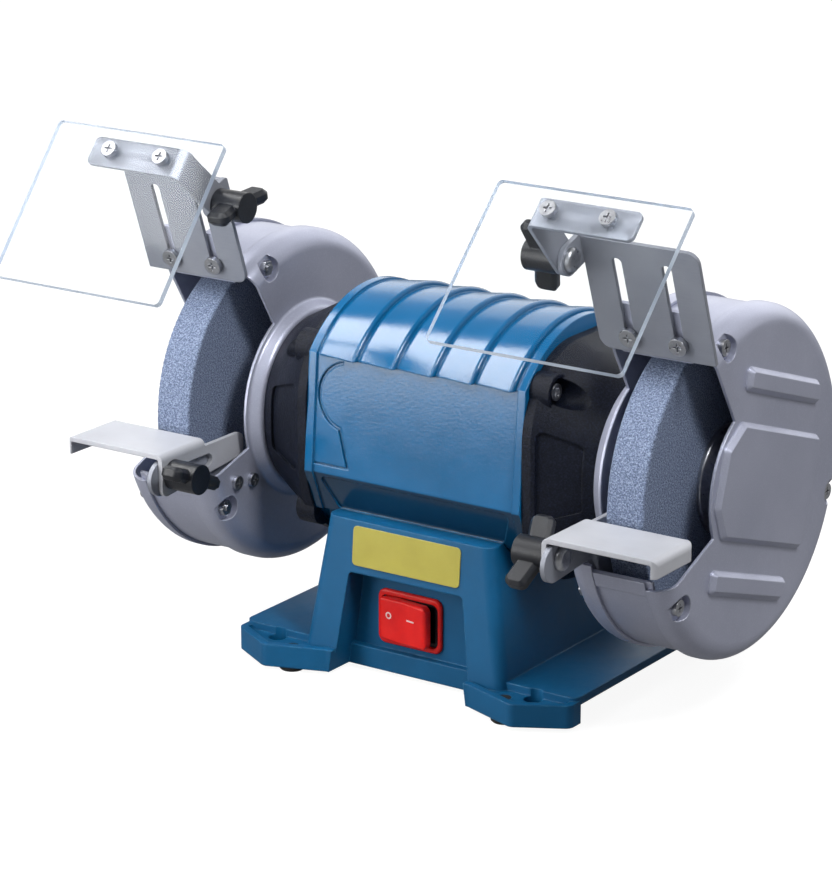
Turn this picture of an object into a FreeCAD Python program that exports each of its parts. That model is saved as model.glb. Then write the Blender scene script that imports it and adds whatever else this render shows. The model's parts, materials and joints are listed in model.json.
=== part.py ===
import FreeCAD, Part
import math
import os
from FreeCAD import Vector as V

# A two-wheel bench grinder. X runs along the shaft, the operator stands on the -Y side,
# Z is up from the bench, and the origin is the middle of the bench bolt pattern.
# The right-hand (+X) side is modelled and mirrored for the left-hand side.

# Shaft line, grinding wheels and their clamping
SHAFT_Z = 118.0
WHEEL_R = 75.0
WHEEL_W = 20.0
WHEEL_X = 121.5
WHEEL_EDGE = 1.0
SEAT_R = 10.0
THREAD_R = 8.0
JOURNAL_R = 12.0
ROTOR_SEAT_R = 14.0
HUB_R = 14.0
FLANGE_R = 27.0
FLANGE_T = 6.0
FLANGE_RELIEF = 1.2
FLANGE_RELIEF_R = 17.0
FLANGE_EDGE = 1.5
FLANGE_ROOT = 1.0
FLANGE_RIM = 2.0
FLANGE_TAPER = 5.0
OUTER_FLANGE_T = 5.5
NUT_FLATS = 24.0
NUT_T = 8.0
NUT_CHAMFER = 2.0
NUT_FACE_IN = 0.3
SHAFT_PROUD = 1.2
SHAFT_CHAMFER = 1.5
SEAT_SHORT = 1.0

# Bearings, rotor and stator
BEARING_R = 23.5
BEARING_W = 14.0
RACE_T = 4.0
BALL_R = 2.7
BALL_COUNT = 8
ROTOR_R = 30.0
ROTOR_L = 62.0
ROTOR_RING_T = 5.0
ROTOR_RING_WALL = 9.0
ROTOR_RING_STEP = 1.0
AIR_GAP = 0.4
STATOR_R = 49.0
STATOR_L = 60.0
WINDING_IN_R = 33.0
WINDING_OUT_R = 43.0
WINDING_L = 17.0
WINDING_ROUND_IN = 4.0
WINDING_ROUND_OUT = 6.0
WINDING_ROOM = 2.0

# Motor housing
HOUSING_L = 126.0
HOUSING_R = 66.5
HOUSING_WALL_BELOW = 12.0
PANEL_TOP_Y = 51.5
PANEL_LOW_Y = 56.5
PANEL_LOW_Z = 100.5
PANEL_BEND = 2.0
CHIN_Y = 47.5
CHIN_Z = 79.0
SHINGLE_COUNT = 5
SHINGLE_STEP = 3.0
SHINGLE_END_R = 1.6
SHINGLE_TOE = 0.3
SHINGLE_ROOT = 8.0
SHINGLE_LAP = 1.0
SHINGLE_FOOT_Z = 160.5
END_RING_W = 4.5
END_RING_PROUD = 1.2
END_GROOVE_W = 1.6
CONTOUR_R = 17.5
CONTOUR_W = 1.6
CONTOUR_X = -40.0
CONTOUR_Z = 140.5
CONTOUR_DEEP = 1.0
CONTOUR_OPEN = 3.0
CONTOUR_TAIL_X = 5.5
CONTOUR_LOW_Z = 105.5
CHIN_RECESS = 1.2
CHIN_RECESS_TOP_X = 56.0
CHIN_RECESS_LOW_X = 48.5
CHIN_RECESS_EDGE = 2.0
CHIN_RECESS_R = 2.5

# End bells
BELL_L = 34.0
BELL_HALF_Y = 56.0
BELL_HALF_Z = 60.0
BELL_CORNER = 44.0
BELL_END_R = 45.0
BELL_END_CORNER = 43.0
BELL_WALL = 5.0
BELL_LIP = 5.0
BELL_END_WALL = 4.0
BELL_BOSS_R = 9.0
BELL_BOSS_L = 11.0
BELL_BOLT_OUT = 9.0
BOLT_HEAD_RECESS_R = 7.0
BOLT_HEAD_RECESS = 4.0
BELL_BOLT_ANGLES = (45.0, 135.0, 225.0, 315.0)
BELL_BOLT_R = 2.5
BELL_BOLT_HEAD_R = 4.2
BELL_BOLT_HEAD_T = 3.0
BELL_BOLT_GRIP = 22.0
BELL_BOLT_SOCKET = 2.0
HUB_ROOM = 1.5
BELL_RECESS = 1.6
BELL_RECESS_X0 = 70.0
BELL_RECESS_X1 = 91.0
BELL_RECESS_LOW_Z = 97.0
BELL_RECESS_HIGH_Z = 143.0
BELL_RECESS_SLANT = 7.0
BELL_RECESS_R = 3.0
SCREW_END_GAP = 1.0

# Wheel guards, each an inner dish, a band and an outer cover
GUARD_ROOM = 11.0
GUARD_R = WHEEL_R + GUARD_ROOM
GUARD_T = 1.5
GUARD_IN_X = 103.0
GUARD_OUT_X = 159.0
GUARD_BEND = 10.0
INNER_RIM_X = 118.0
COVER_RIM_X = 146.0
COLLAR_R = 47.0
COLLAR_FLARE = 3.5
COLLAR_BEND = 3.0
COLLAR_ROOT = 2.0
GUARD_BORE_R = 19.0
OPEN_TOP = 121.5
OPEN_DROP_INNER = 25.14
OPEN_DROP_COVER = 32.22
OPEN_DROP_BAND = 28.71
OPEN_ARC_INNER = 52.0
OPEN_ARC_COVER = 43.0
BAND_TOP = 123.5
BAND_REACH = 0.5
BAND_HEM = 8.0
BAND_HEM_T = 1.2
BAND_HEM_BITE = 0.5
GUARD_SCREW_R = 2.0
GUARD_SCREW_IN = 7.0
GUARD_SCREW_ANGLES = (112.0, 212.5, 342.5)
DIMPLE_R = 6.5
DIMPLE_DEEP = 4.5
PAN_HEAD_R = 4.0
PAN_HEAD_T = 2.6
SMALL_HEAD_R = 3.5
SMALL_HEAD_T = 2.0
CROSS_L = 4.4
CROSS_W = 0.9
CROSS_DEEP = 1.2
SCREW_TAIL = 3.5
GUARD_NUT_FLATS = 7.0
GUARD_NUT_T = 3.0
EMBOSS = 3.0
EMBOSS_TILT = 18.5
EMBOSS_EDGE = 2.2
BAR_LOW_V = 42.5
BAR_HIGH_V = 54.0
BAR_FRONT_U = -30.0
BAR_REAR_U = 46.0
BAR_ROUND = 3.0
BAR_TAPER = 4.0
PANEL_V = 28.0
PANEL_FRONT_R = 39.0
PANEL_REAR_U = 54.0
PANEL_ROUND = 4.0
GUARD_MOUNT_RING = 31.0
GUARD_MOUNT_ANGLES = (45.0, 135.0, 225.0, 315.0)
GUARD_MOUNT_DEEP = 3.0

# Spark plates, leaning forward above each opening
PLATE_X = 133.0
PLATE_W = 61.0
PLATE_L = 60.0
PLATE_T = 2.0
PLATE_LEAN = 19.7
PLATE_FOOT_ANGLE = 124.2
PLATE_FOOT_IN = 0.6
PLATE_CORNER = 6.0
PLATE_EDGE_R = 0.5
PLATE_SLOT_PITCH = 26.0
PLATE_SLOT_W = 5.0
PLATE_SLOT_LOW = 6.0
PLATE_SLOT_L = 45.0
TAB_L = 25.0
TAB_ROOT = 2.4
TAB_T = 2.0
SLIDE_GAP = 0.3
SPARK_SCREW_R = 2.0
SPARK_SCREW_UP = 9.0
SPARK_HEAD_R = 4.6
LUG_T = 2.5
LUG_R = 7.5
LUG_ROOT = 1.0
LUG_CORNER = 1.5
PIVOT_UP = 53.5
PIVOT_OUT = 12.5
PIVOT_R = 3.0

# Eye shields and their brackets
SHIELD_X = 126.5
SHIELD_W = 101.0
SHIELD_H = 85.5
SHIELD_T = 3.0
SHIELD_CORNER = 2.5
SHIELD_ARM = 37.5
SHIELD_RISE = 13.5
SHIELD_TILT_LEFT = 38.7
SHIELD_TILT_RIGHT = 44.5
STRIP_L = 55.0
STRIP_H = 15.0
STRIP_T = 2.0
STRIP_DROP = 4.5
STRIP_BEND = 4.0
STRIP_CORNER = 3.0
SHIELD_SCREW_R = 2.0
SHIELD_SCREW_PITCH = 31.0
SHIELD_SCREW_IN = 10.5

# Tool rests and the lugs that carry them
REST_X0 = 109.6
REST_L = 60.0
REST_GAP = 2.2
REST_D = 34.3
REST_REAR_Y = -WHEEL_R - REST_GAP
REST_FRONT_Y = REST_REAR_Y - REST_D
REST_TOP_Z = 113.4
REST_T = 2.5
REST_BEND = 3.5
REST_LIP = 9.0
REST_CORNER = 3.0
REST_CHEEK_TAIL = 31.2
REST_CHEEK_FRONT_H = 22.0
REST_CHEEK_REAR_H = 12.0
REST_CHEEK_R = 4.0
REST_BOLT_IN = 8.5
REST_BOLT_Y = REST_FRONT_Y + REST_BOLT_IN
REST_BOLT_Z = 102.0
REST_BOLT_R = 3.0
REST_TRAVEL = 28.0
REST_FIT = 0.2
LUG_PLATE_T = 2.5
LUG_NOSE_R = 11.0
LUG_UNDER_TABLE = 1.5
LUG_NOSE_OUT = 3.0
LUG_POST_R = 4.0
LUG_POST_IN = 5.6
LUG_POST_UP = 12.2
LUG_POST_OUT = 10.7
LUG_POST_ANGLE = 213.7
LUG_POST_SCREW_R = 1.8
LUG_POST_EDGE = 1.5
LUG_NOSE_FLAT = 1.0
LUG_NECK_Y = 10.0
LUG_NECK_Z = 3.5
LUG_NECK_R = 3.0
LUG_FOOT_R = 4.0
LUG_CREST = 20.0
LUG_CREST_R = 8.0
LUG_FALL = 8.0
LUG_SCREW_BITE = 0.5
BOLT_CAP_R = 6.0
BOLT_CAP_T = 3.0
BOLT_CAP_RIM = 0.6
BOLT_SHORT = 4.0

# Wing knobs
KNOB_HUB_R = 7.5
KNOB_L = 17.0
KNOB_SPAN = 19.0
KNOB_WING_T = 7.0
KNOB_WING_L = 12.0
KNOB_ROUND = 2.0
KNOB_WING_OUT = 1.0
KNOB_WING_BITE = 1.0
KNOB_SEAT_H = 3.0
KNOB_CUP = 2.0
KNOB_TIP_R = 4.0
KNOB_BACK_R = 3.0
KNOB_FIT = 0.1
REST_KNOB_TURN = -45.0
SHIELD_KNOB_TURN = 25.0
SHIELD_KNOB_TURN_LEFT = 100.0
REST_KNOB_TURN_LEFT = 67.5

# Pedestal base
FOOT_LIFT = 2.5
FOOT_H = 11.5
FOOT_FLOOR = 9.5
FOOT_LIP = 4.0
BASE_SIDE_X = 98.5
BASE_CORNER_Y = 66.0
BASE_TOE_X = 73.0
BASE_TOE_Y = 80.5
BASE_WAIST_X = 42.0
BASE_WAIST_Y = 69.5
BASE_ROUND = 5.0
SIDE_ARCH_Z = 12.0
SIDE_ARCH_Y = 57.0
SIDE_WEB_T = 4.0
POST_TOP_X = 48.5
POST_TOP_Y = 59.5
POST_LOW_X = 61.0
POST_LOW_Y = 66.0
POST_TOP_Z = 81.0
POST_ROUND = 6.0
POST_WALL = 5.0
POST_INNER_ROUND = 3.5
DECK_Z = 48.0
SADDLE_FIT = 0.15
BAY_TOP_X = 33.5
BAY_LOW_X = 41.0
BAY_TOP_Z = 54.5
BAY_DEEP = 13.7
BAY_LEDGE = 4.0
BAY_LEDGE_Z = 13.0
BAY_ROUND = 2.5
BENCH_X = 76.0
BENCH_Y = 64.0
BENCH_HOLE_R = 4.5
RUBBER_X = 63.0
RUBBER_Y = 69.5
RUBBER_R = 6.5
RUBBER_STEM_R = 3.5
RUBBER_CHAMFER = 0.8
HOUSING_BOLT_X = 38.0
HOUSING_BOLT_R = 3.0
HOUSING_BOLT_HEAD_R = 5.5
HOUSING_BOLT_HEAD_T = 5.0
HOUSING_BOLT_BITE = 4.0
BOTTOM_T = 1.5
BOTTOM_SCREW_X = 44.0
BOTTOM_SCREW_REAR_Y = 46.0
BOTTOM_SCREW_FRONT_Y = -36.0
BOTTOM_SCREW_L = 12.0
BOTTOM_HEAD_T = 1.8
BOTTOM_ROUND = 3.0
BOTTOM_SCREW_R = 1.8
BOTTOM_POST_R = 4.5

# Switch, capacitor and cable gland
SWITCH_X = -5.6
SWITCH_Z = 30.5
SWITCH_W = 37.7
SWITCH_H = 28.4
BEZEL_PROUD = 2.0
BEZEL_ROUND = 4.5
BEZEL_EDGE = 0.8
SWITCH_ROUND = 1.0
SWITCH_BODY_W = 31.0
SWITCH_BODY_H = 23.0
SWITCH_BODY_DEEP = 22.0
SWITCH_BODY_WALL = 1.6
SWITCH_BODY_BACK = 6.0
BLADE_W = 4.0
BLADE_T = 0.8
BLADE_L = 7.0
BLADE_PITCH = 9.0
ROCKER_W = 30.4
ROCKER_H = 22.3
ROCKER_CORNER = 3.5
ROCKER_NECK_W = 23.0
ROCKER_NECK_H = 18.0
ROCKER_PIN_R = 1.6
ROCKER_PIN_OUT = 1.0
ROCKER_PIN_GAP = 0.2
ROCKER_EDGE = 2.0
ROCKER_DISH = 0.6
ROCKER_DISH_R = 30.0
ROCKER_SKIRT = 2.4
ROCKER_BACK = 4.0
ROCKER_BACK_R = 3.0
ROCKER_DEEP = 5.0
ROCKER_TILT = 7.0
ROCKER_PROUD = 7.0
ROCKER_FIT = 0.3
CAP_R = 16.0
CAP_L = 52.0
CAP_Y = 22.0
CAP_Z = 27.0
CAP_ROUND = 2.0
CAP_STUD_R = 4.0
CAP_STUD_L = 8.0
CLIP_T = 1.5
CLIP_W = 12.0
CLIP_FOOT = 9.0
CLIP_CRADLE = 4.0
GLAND_X = 25.0
GLAND_Z = 30.0
GLAND_R = 9.0
GLAND_BORE_R = 3.8
GLAND_NECK_R = 7.0
GLAND_PROUD = 14.0
GLAND_FLATS = 19.0
GLAND_HEX_T = 5.0
GLAND_PAD_R = 12.5
GLAND_PAD = 1.2
GLAND_INSIDE = 4.0
GLAND_TIP = 3.0

# Clearances between pieces that are screwed or pressed together
FIT = 0.05
SEAT_FIT = 0.1

# Helpers for cutting: a length past everything, a small overshoot, and the slack that keeps
# two full rounds on one edge from meeting in a point
FAR = 400.0
PAST = 1.0
TINY = 1e-6
ROUND_SLACK = 0.01
AXIS_X = V(1, 0, 0)


def rounded_wire(corners, place):
    """Closed wire through (a, b, radius) corners, set in space by place(a, b)."""
    count = len(corners)
    bends = []
    for i, (a, b, radius) in enumerate(corners):
        here = V(a, b, 0)
        to_last = V(*corners[i - 1][:2], 0) - here
        to_next = V(*corners[(i + 1) % count][:2], 0) - here
        if radius <= 0:
            bends.append((here, here, here))
            continue
        half = to_last.getAngle(to_next) / 2
        to_last.normalize()
        to_next.normalize()
        inward = to_last + to_next
        inward.normalize()
        reach = radius / math.tan(half)
        middle = here + inward * (radius / math.sin(half) - radius)
        bends.append((here + to_last * reach, middle, here + to_next * reach))
    edges = []
    for i, (start, middle, end) in enumerate(bends):
        if (end - start).Length > TINY:
            arc = Part.Arc(*(place(p.x, p.y) for p in (start, middle, end)))
            edges.append(arc.toShape())
        follow = bends[(i + 1) % count][0]
        if (follow - end).Length > TINY:
            edges.append(Part.LineSegment(place(end.x, end.y), place(follow.x, follow.y)).toShape())
    return Part.Wire(edges)


def prism_x(corners, x0, x1):
    """Outline of (y, z, radius) corners, swept along X from x0 to x1."""
    face = Part.Face(rounded_wire(corners, lambda y, z: V(x0, y, z)))
    return face.extrude(V(x1 - x0, 0, 0))


def prism_y(corners, y0, y1):
    """Outline of (x, z, radius) corners, swept along Y from y0 to y1."""
    face = Part.Face(rounded_wire(corners, lambda x, z: V(x, y0, z)))
    return face.extrude(V(0, y1 - y0, 0))


def prism_z(corners, z0, z1):
    """Outline of (x, y, radius) corners, swept along Z from z0 to z1."""
    face = Part.Face(rounded_wire(corners, lambda x, y: V(x, y, z0)))
    return face.extrude(V(0, 0, z1 - z0))


def turned(corners):
    """Body turned about the shaft line from (x, r, radius) corners."""
    face = Part.Face(rounded_wire(corners, lambda x, r: V(x, 0, SHAFT_Z + r)))
    return face.revolve(V(0, 0, SHAFT_Z), AXIS_X, 360)


def ring_x(x0, x1, r0, r1):
    """Plain ring or disc about the shaft line."""
    return turned([(x0, r0, 0), (x1, r0, 0), (x1, r1, 0), (x0, r1, 0)])


def rod_x(x0, x1, r, y, z):
    return Part.makeCylinder(r, x1 - x0, V(x0, y, z), AXIS_X)


def rod_z(z0, z1, r, x, y):
    return Part.makeCylinder(r, z1 - z0, V(x, y, z0), V(0, 0, 1))


def rod_y(y0, y1, r, x, z):
    return Part.makeCylinder(r, y1 - y0, V(x, y0, z), V(0, 1, 0))


def hexagon_x(x0, x1, flats, y, z):
    """Hexagonal prism along X."""
    reach = flats / math.sqrt(3)
    angles = [math.radians(60 * i) for i in range(6)]
    return prism_x([(y + reach * math.cos(a), z + reach * math.sin(a), 0) for a in angles], x0, x1)


def box(x0, x1, y0, y1, z0, z1):
    return Part.makeBox(x1 - x0, y1 - y0, z1 - z0, V(x0, y0, z0))


def polar(radius, degrees):
    """Point (y, z) at an angle about the shaft line, measured from the rear (+Y) upwards."""
    angle = math.radians(degrees)
    return radius * math.cos(angle), SHAFT_Z + radius * math.sin(angle)


def mirrored(shape):
    return shape.mirror(V(0, 0, 0), AXIS_X)


def both_sides(solids):
    """The right-hand solids and their mirror images."""
    return solids + [mirrored(s) for s in solids]


def fuse(shapes):
    whole = shapes[0]
    for shape in shapes[1:]:
        whole = whole.fuse(shape)
    return whole.removeSplitter()


def cut(shape, tools):
    for tool in tools:
        shape = shape.cut(tool)
    return shape


def save(node, solids):
    """Write one node, as one solid or as a group of separate solids."""
    pieces = [s for shape in solids for s in shape.Solids]
    whole = pieces[0] if len(pieces) == 1 else Part.makeCompound(pieces)
    whole.exportStep("parts/" + node + ".step")


# Places worked out from the driving dimensions

BAND_X0 = GUARD_IN_X + GUARD_BEND - BAND_REACH
BAND_X1 = GUARD_OUT_X - GUARD_BEND + BAND_REACH
WHEEL_OUT_X = WHEEL_X + WHEEL_W
NUT_X = WHEEL_OUT_X + OUTER_FLANGE_T
SHAFT_END_X = NUT_X + NUT_T + SHAFT_PROUD
BELL_X0 = HOUSING_L / 2
BELL_X1 = BELL_X0 + BELL_L
BEARING_X1 = BELL_X1 - BELL_END_WALL
BEARING_X0 = BEARING_X1 - BEARING_W
PLATE_FOOT_Y, PLATE_FOOT_Z = polar(GUARD_R - PLATE_FOOT_IN, PLATE_FOOT_ANGLE)
HOUSING_BOLT_TOP = SHAFT_Z - STATOR_R - HOUSING_WALL_BELOW + HOUSING_BOLT_BITE


# Rotor


def shaft():
    """Stepped shaft: rotor seat, bearing shoulders, wheel seats and threaded ends."""
    half = [
        (ROTOR_L / 2 + ROTOR_RING_T, ROTOR_SEAT_R),
        (BEARING_X0, JOURNAL_R),
        (WHEEL_OUT_X - SEAT_SHORT, SEAT_R),
        (SHAFT_END_X, THREAD_R),
    ]
    corners = []
    start = 0.0
    for end, radius in half:
        corners += [(start, radius, 0), (end, radius, 0)]
        start = end
    corners[-1] = (SHAFT_END_X - SHAFT_CHAMFER, THREAD_R, 0)
    corners.append((SHAFT_END_X, THREAD_R - SHAFT_CHAMFER, 0))
    left = [(-x, r, 0) for x, r, _ in reversed(corners)]
    profile = [(-SHAFT_END_X, 0, 0)] + left[:-1] + corners[1:] + [(SHAFT_END_X, 0, 0)]
    return turned(profile)


def rotor_core():
    """Laminated core with a cast end ring at each face."""
    core = ring_x(-ROTOR_L / 2, ROTOR_L / 2, ROTOR_SEAT_R + FIT, ROTOR_R)
    inner = ROTOR_R - ROTOR_RING_WALL
    ring = ring_x(ROTOR_L / 2, ROTOR_L / 2 + ROTOR_RING_T, inner, ROTOR_R - ROTOR_RING_STEP)
    return fuse([core, ring, mirrored(ring)])


def bearing_rings():
    """Outer ring, inner ring and balls of the right-hand bearing."""
    middle = (BEARING_X0 + BEARING_X1) / 2
    pitch = (SEAT_R + BEARING_R) / 2
    track = Part.makeTorus(pitch, BALL_R + FIT, V(middle, 0, SHAFT_Z), AXIS_X)
    outer = ring_x(BEARING_X0, BEARING_X1, BEARING_R - RACE_T, BEARING_R).cut(track)
    inner = ring_x(BEARING_X0, BEARING_X1, SEAT_R + FIT, SEAT_R + RACE_T).cut(track)
    balls = []
    for i in range(BALL_COUNT):
        y, z = polar(pitch, 360.0 * i / BALL_COUNT)
        balls.append(Part.makeSphere(BALL_R, V(middle, y, z)))
    return outer, inner, balls


def grinding_wheel():
    e = WHEEL_EDGE
    return turned([
        (WHEEL_X, SEAT_R + FIT, 0), (WHEEL_OUT_X, SEAT_R + FIT, 0),
        (WHEEL_OUT_X, WHEEL_R, e), (WHEEL_X, WHEEL_R, e),
    ])


def inner_flange():
    """Hub sleeve from the bearing to the wheel, with a relieved clamping disc."""
    disc_x = WHEEL_X - FLANGE_T
    return turned([
        (BEARING_X1, SEAT_R + FIT, 0), (WHEEL_X - FLANGE_RELIEF, SEAT_R + FIT, 0),
        (WHEEL_X - FLANGE_RELIEF, FLANGE_RELIEF_R, 0), (WHEEL_X, FLANGE_RELIEF_R, 0),
        (WHEEL_X, FLANGE_R, 0), (disc_x, FLANGE_R, FLANGE_EDGE), (disc_x, HUB_R, FLANGE_ROOT),
        (BEARING_X1, HUB_R, 0),
    ])


def outer_flange():
    bore = THREAD_R + FIT
    return turned([
        (WHEEL_OUT_X, FLANGE_RELIEF_R, 0), (WHEEL_OUT_X + FLANGE_RELIEF, FLANGE_RELIEF_R, 0),
        (WHEEL_OUT_X + FLANGE_RELIEF, bore, 0), (NUT_X, bore, 0),
        (NUT_X, FLANGE_R - FLANGE_TAPER, 0), (WHEEL_OUT_X + FLANGE_RIM, FLANGE_R, FLANGE_ROOT),
        (WHEEL_OUT_X, FLANGE_R, 0),
    ])


def wheel_nut():
    nut = hexagon_x(NUT_X, NUT_X + NUT_T, NUT_FLATS, 0, SHAFT_Z)
    wide = NUT_FLATS / math.sqrt(3) + PAST
    chamfer = turned([
        (NUT_X, 0, 0), (NUT_X, wide, 0), (NUT_X + NUT_T - NUT_CHAMFER, wide, 0),
        (NUT_X + NUT_T, NUT_FLATS / 2 - NUT_FACE_IN, 0), (NUT_X + NUT_T, 0, 0),
    ])
    return nut.common(chamfer).cut(rod_x(NUT_X, NUT_X + NUT_T, THREAD_R + FIT, 0, SHAFT_Z))


def build_rotor():
    save("shaft", [shaft()])
    save("rotor_core", [rotor_core()])
    outer, inner, balls = bearing_rings()
    save("bearing_outer_rings", both_sides([outer]))
    save("bearing_inner_rings", both_sides([inner]))
    save("bearing_balls", both_sides(balls))
    for name, piece in (
        ("wheel", grinding_wheel()), ("inner_flange", inner_flange()),
        ("outer_flange", outer_flange()), ("wheel_nut", wheel_nut()),
    ):
        save("right_" + name, [piece])
        save("left_" + name, [mirrored(piece)])


# Motor

def stator_core():
    return ring_x(-STATOR_L / 2, STATOR_L / 2, ROTOR_R + AIR_GAP, STATOR_R - SEAT_FIT)


def winding():
    """Coil overhang at one face of the stator core, a fat rounded ring."""
    x0 = STATOR_L / 2
    x1 = x0 + WINDING_L
    return turned([
        (x0, WINDING_IN_R, 0), (x1, WINDING_IN_R, WINDING_ROUND_IN),
        (x1, WINDING_OUT_R, WINDING_ROUND_OUT), (x0, WINDING_OUT_R, 0),
    ])


def housing_section():
    """Corners (y, z, radius) of the housing's section below the round top."""
    front = [(-PANEL_TOP_Y, SHINGLE_FOOT_Z, 0), (-PANEL_LOW_Y, PANEL_LOW_Z, PANEL_BEND), (-CHIN_Y, CHIN_Z, 0)]
    return front + [(-y, z, r) for y, z, r in reversed(front)]


def housing_body(x0, x1, proud):
    """One length of the housing: a round top, flat front and rear panels, and a round belly below them."""
    belly_r = STATOR_R + HOUSING_WALL_BELOW
    drum = rod_x(x0, x1, HOUSING_R + proud, 0, SHAFT_Z)
    drum = drum.common(box(x0, x1, -FAR, FAR, SHINGLE_FOOT_Z, FAR))
    belly = rod_x(x0, x1, belly_r, 0, SHAFT_Z)
    belly = belly.common(box(x0, x1, -FAR, FAR, 0, CHIN_Z + PAST))
    grown = [(y + math.copysign(proud, y), z, r) for y, z, r in housing_section()]
    return fuse([belly, prism_x(grown, x0, x1), drum])


def shingles():
    """Overlapping cooling bands, each stepping down to the next, over the top of the drum."""
    x0 = -HOUSING_L / 2 + END_RING_W + END_GROOVE_W
    pitch = (HOUSING_L - 2 * (END_RING_W + END_GROOVE_W)) / SHINGLE_COUNT
    root = STATOR_R + SHINGLE_ROOT
    bands = []
    for i in range(SHINGLE_COUNT):
        start = x0 + i * pitch
        end = start + pitch
        bands.append(turned([
            (start, root, 0), (end, root, 0),
            (end, HOUSING_R + SHINGLE_STEP, SHINGLE_END_R), (start, HOUSING_R + SHINGLE_TOE, 0),
        ]))
    return fuse(bands).common(box(-FAR, FAR, -FAR, FAR, SHINGLE_FOOT_Z - SHINGLE_LAP, FAR))


def front_skin(first, deep):
    """Space in front of one front panel of the housing, and into it by a depth."""
    (y0, z0, _), (y1, z1, _) = housing_section()[first:first + 2]
    return prism_x([(-FAR, z0, 0), (y0 + deep, z0, 0), (y1 + deep, z1, 0), (-FAR, z1, 0)], -FAR, FAR)


def contour_groove():
    """Contour line sunk into the left of the front panel: a half ring, a tail and a run to the edge."""
    front = -PANEL_LOW_Y - PAST
    w = CONTOUR_W
    ring = rod_y(front, 0, CONTOUR_R, CONTOUR_X, CONTOUR_Z)
    ring = ring.cut(rod_y(front, 0, CONTOUR_R - w, CONTOUR_X, CONTOUR_Z))
    end_x = CONTOUR_X - CONTOUR_OPEN
    ring = ring.cut(box(end_x, FAR, -FAR, FAR, 0, FAR))
    low = CONTOUR_Z - math.sqrt(CONTOUR_R ** 2 - CONTOUR_OPEN ** 2)
    foot_x = end_x + CONTOUR_TAIL_X
    tail = prism_y([
        (end_x - w, low, 0), (end_x, low + w, 0), (foot_x, CONTOUR_LOW_Z, 0), (foot_x - w, CONTOUR_LOW_Z, 0),
    ], front, 0)
    run = box(-HOUSING_L / 2 + END_RING_W, foot_x, front, 0, CONTOUR_LOW_Z - w / 2, CONTOUR_LOW_Z)
    return fuse([ring, tail, run]).common(front_skin(0, CONTOUR_DEEP))


def chin_recess():
    """Shallow recess with slanting ends in the lower front panel."""
    high, low = PANEL_LOW_Z - CHIN_RECESS_EDGE, CHIN_Z + CHIN_RECESS_EDGE
    window = prism_y([
        (-CHIN_RECESS_LOW_X, low, CHIN_RECESS_R), (CHIN_RECESS_LOW_X, low, CHIN_RECESS_R),
        (CHIN_RECESS_TOP_X, high, CHIN_RECESS_R), (-CHIN_RECESS_TOP_X, high, CHIN_RECESS_R),
    ], -FAR, 0)
    return window.common(front_skin(1, CHIN_RECESS))


def bell_bolt_places():
    return [polar(STATOR_R + BELL_BOLT_OUT, angle) for angle in BELL_BOLT_ANGLES]


def motor_housing():
    """Finned casting with a machined bore for the stator and rings at both ends."""
    half = HOUSING_L / 2
    body = housing_body(-half, half, 0)
    ring = housing_body(half - END_RING_W, half, END_RING_PROUD)
    casting = fuse([body, shingles(), ring, mirrored(ring)])
    tools = [rod_x(-half, half, STATOR_R, 0, SHAFT_Z), contour_groove(), chin_recess()]
    for x, way in ((-half, 1), (half, -1)):
        for y, z in bell_bolt_places():
            end = x + way * BELL_BOLT_GRIP
            tools.append(rod_x(min(x, end), max(x, end), BELL_BOLT_R + FIT, y, z))
    for x in (-HOUSING_BOLT_X, HOUSING_BOLT_X):
        tools.append(rod_z(DECK_Z, HOUSING_BOLT_TOP, HOUSING_BOLT_R + FIT, x, 0))
    return cut(casting, tools)


def squircle(half_y, half_z, corner, x):
    """Rounded square about the shaft line at one X."""
    signs = ((-1, -1), (1, -1), (1, 1), (-1, 1))
    corners = [(sy * half_y, SHAFT_Z + sz * half_z, corner) for sy, sz in signs]
    return rounded_wire(corners, lambda y, z: V(x, y, z))


def bell_cone(inset):
    """Tapering body of the end bell, drawn in all round by an inset."""
    wide = squircle(BELL_HALF_Y - inset, BELL_HALF_Z - inset, BELL_CORNER - inset, BELL_X0 + BELL_LIP)
    narrow = squircle(BELL_END_R - inset, BELL_END_R - inset, BELL_END_CORNER - inset, BELL_X1)
    return Part.makeLoft([wide, narrow], True)


def bell_recesses():
    """Shallow windows that follow the taper, one in the front and one in the rear of the end bell."""
    x0, x1 = BELL_RECESS_X0, BELL_RECESS_X1
    r, slant = BELL_RECESS_R, BELL_RECESS_SLANT
    window = prism_y([
        (x0, BELL_RECESS_LOW_Z, r), (x1, BELL_RECESS_LOW_Z + slant, r),
        (x1, BELL_RECESS_HIGH_Z - slant, r), (x0, BELL_RECESS_HIGH_Z, r),
    ], -FAR, FAR)
    return window.cut(bell_cone(BELL_RECESS))


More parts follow.
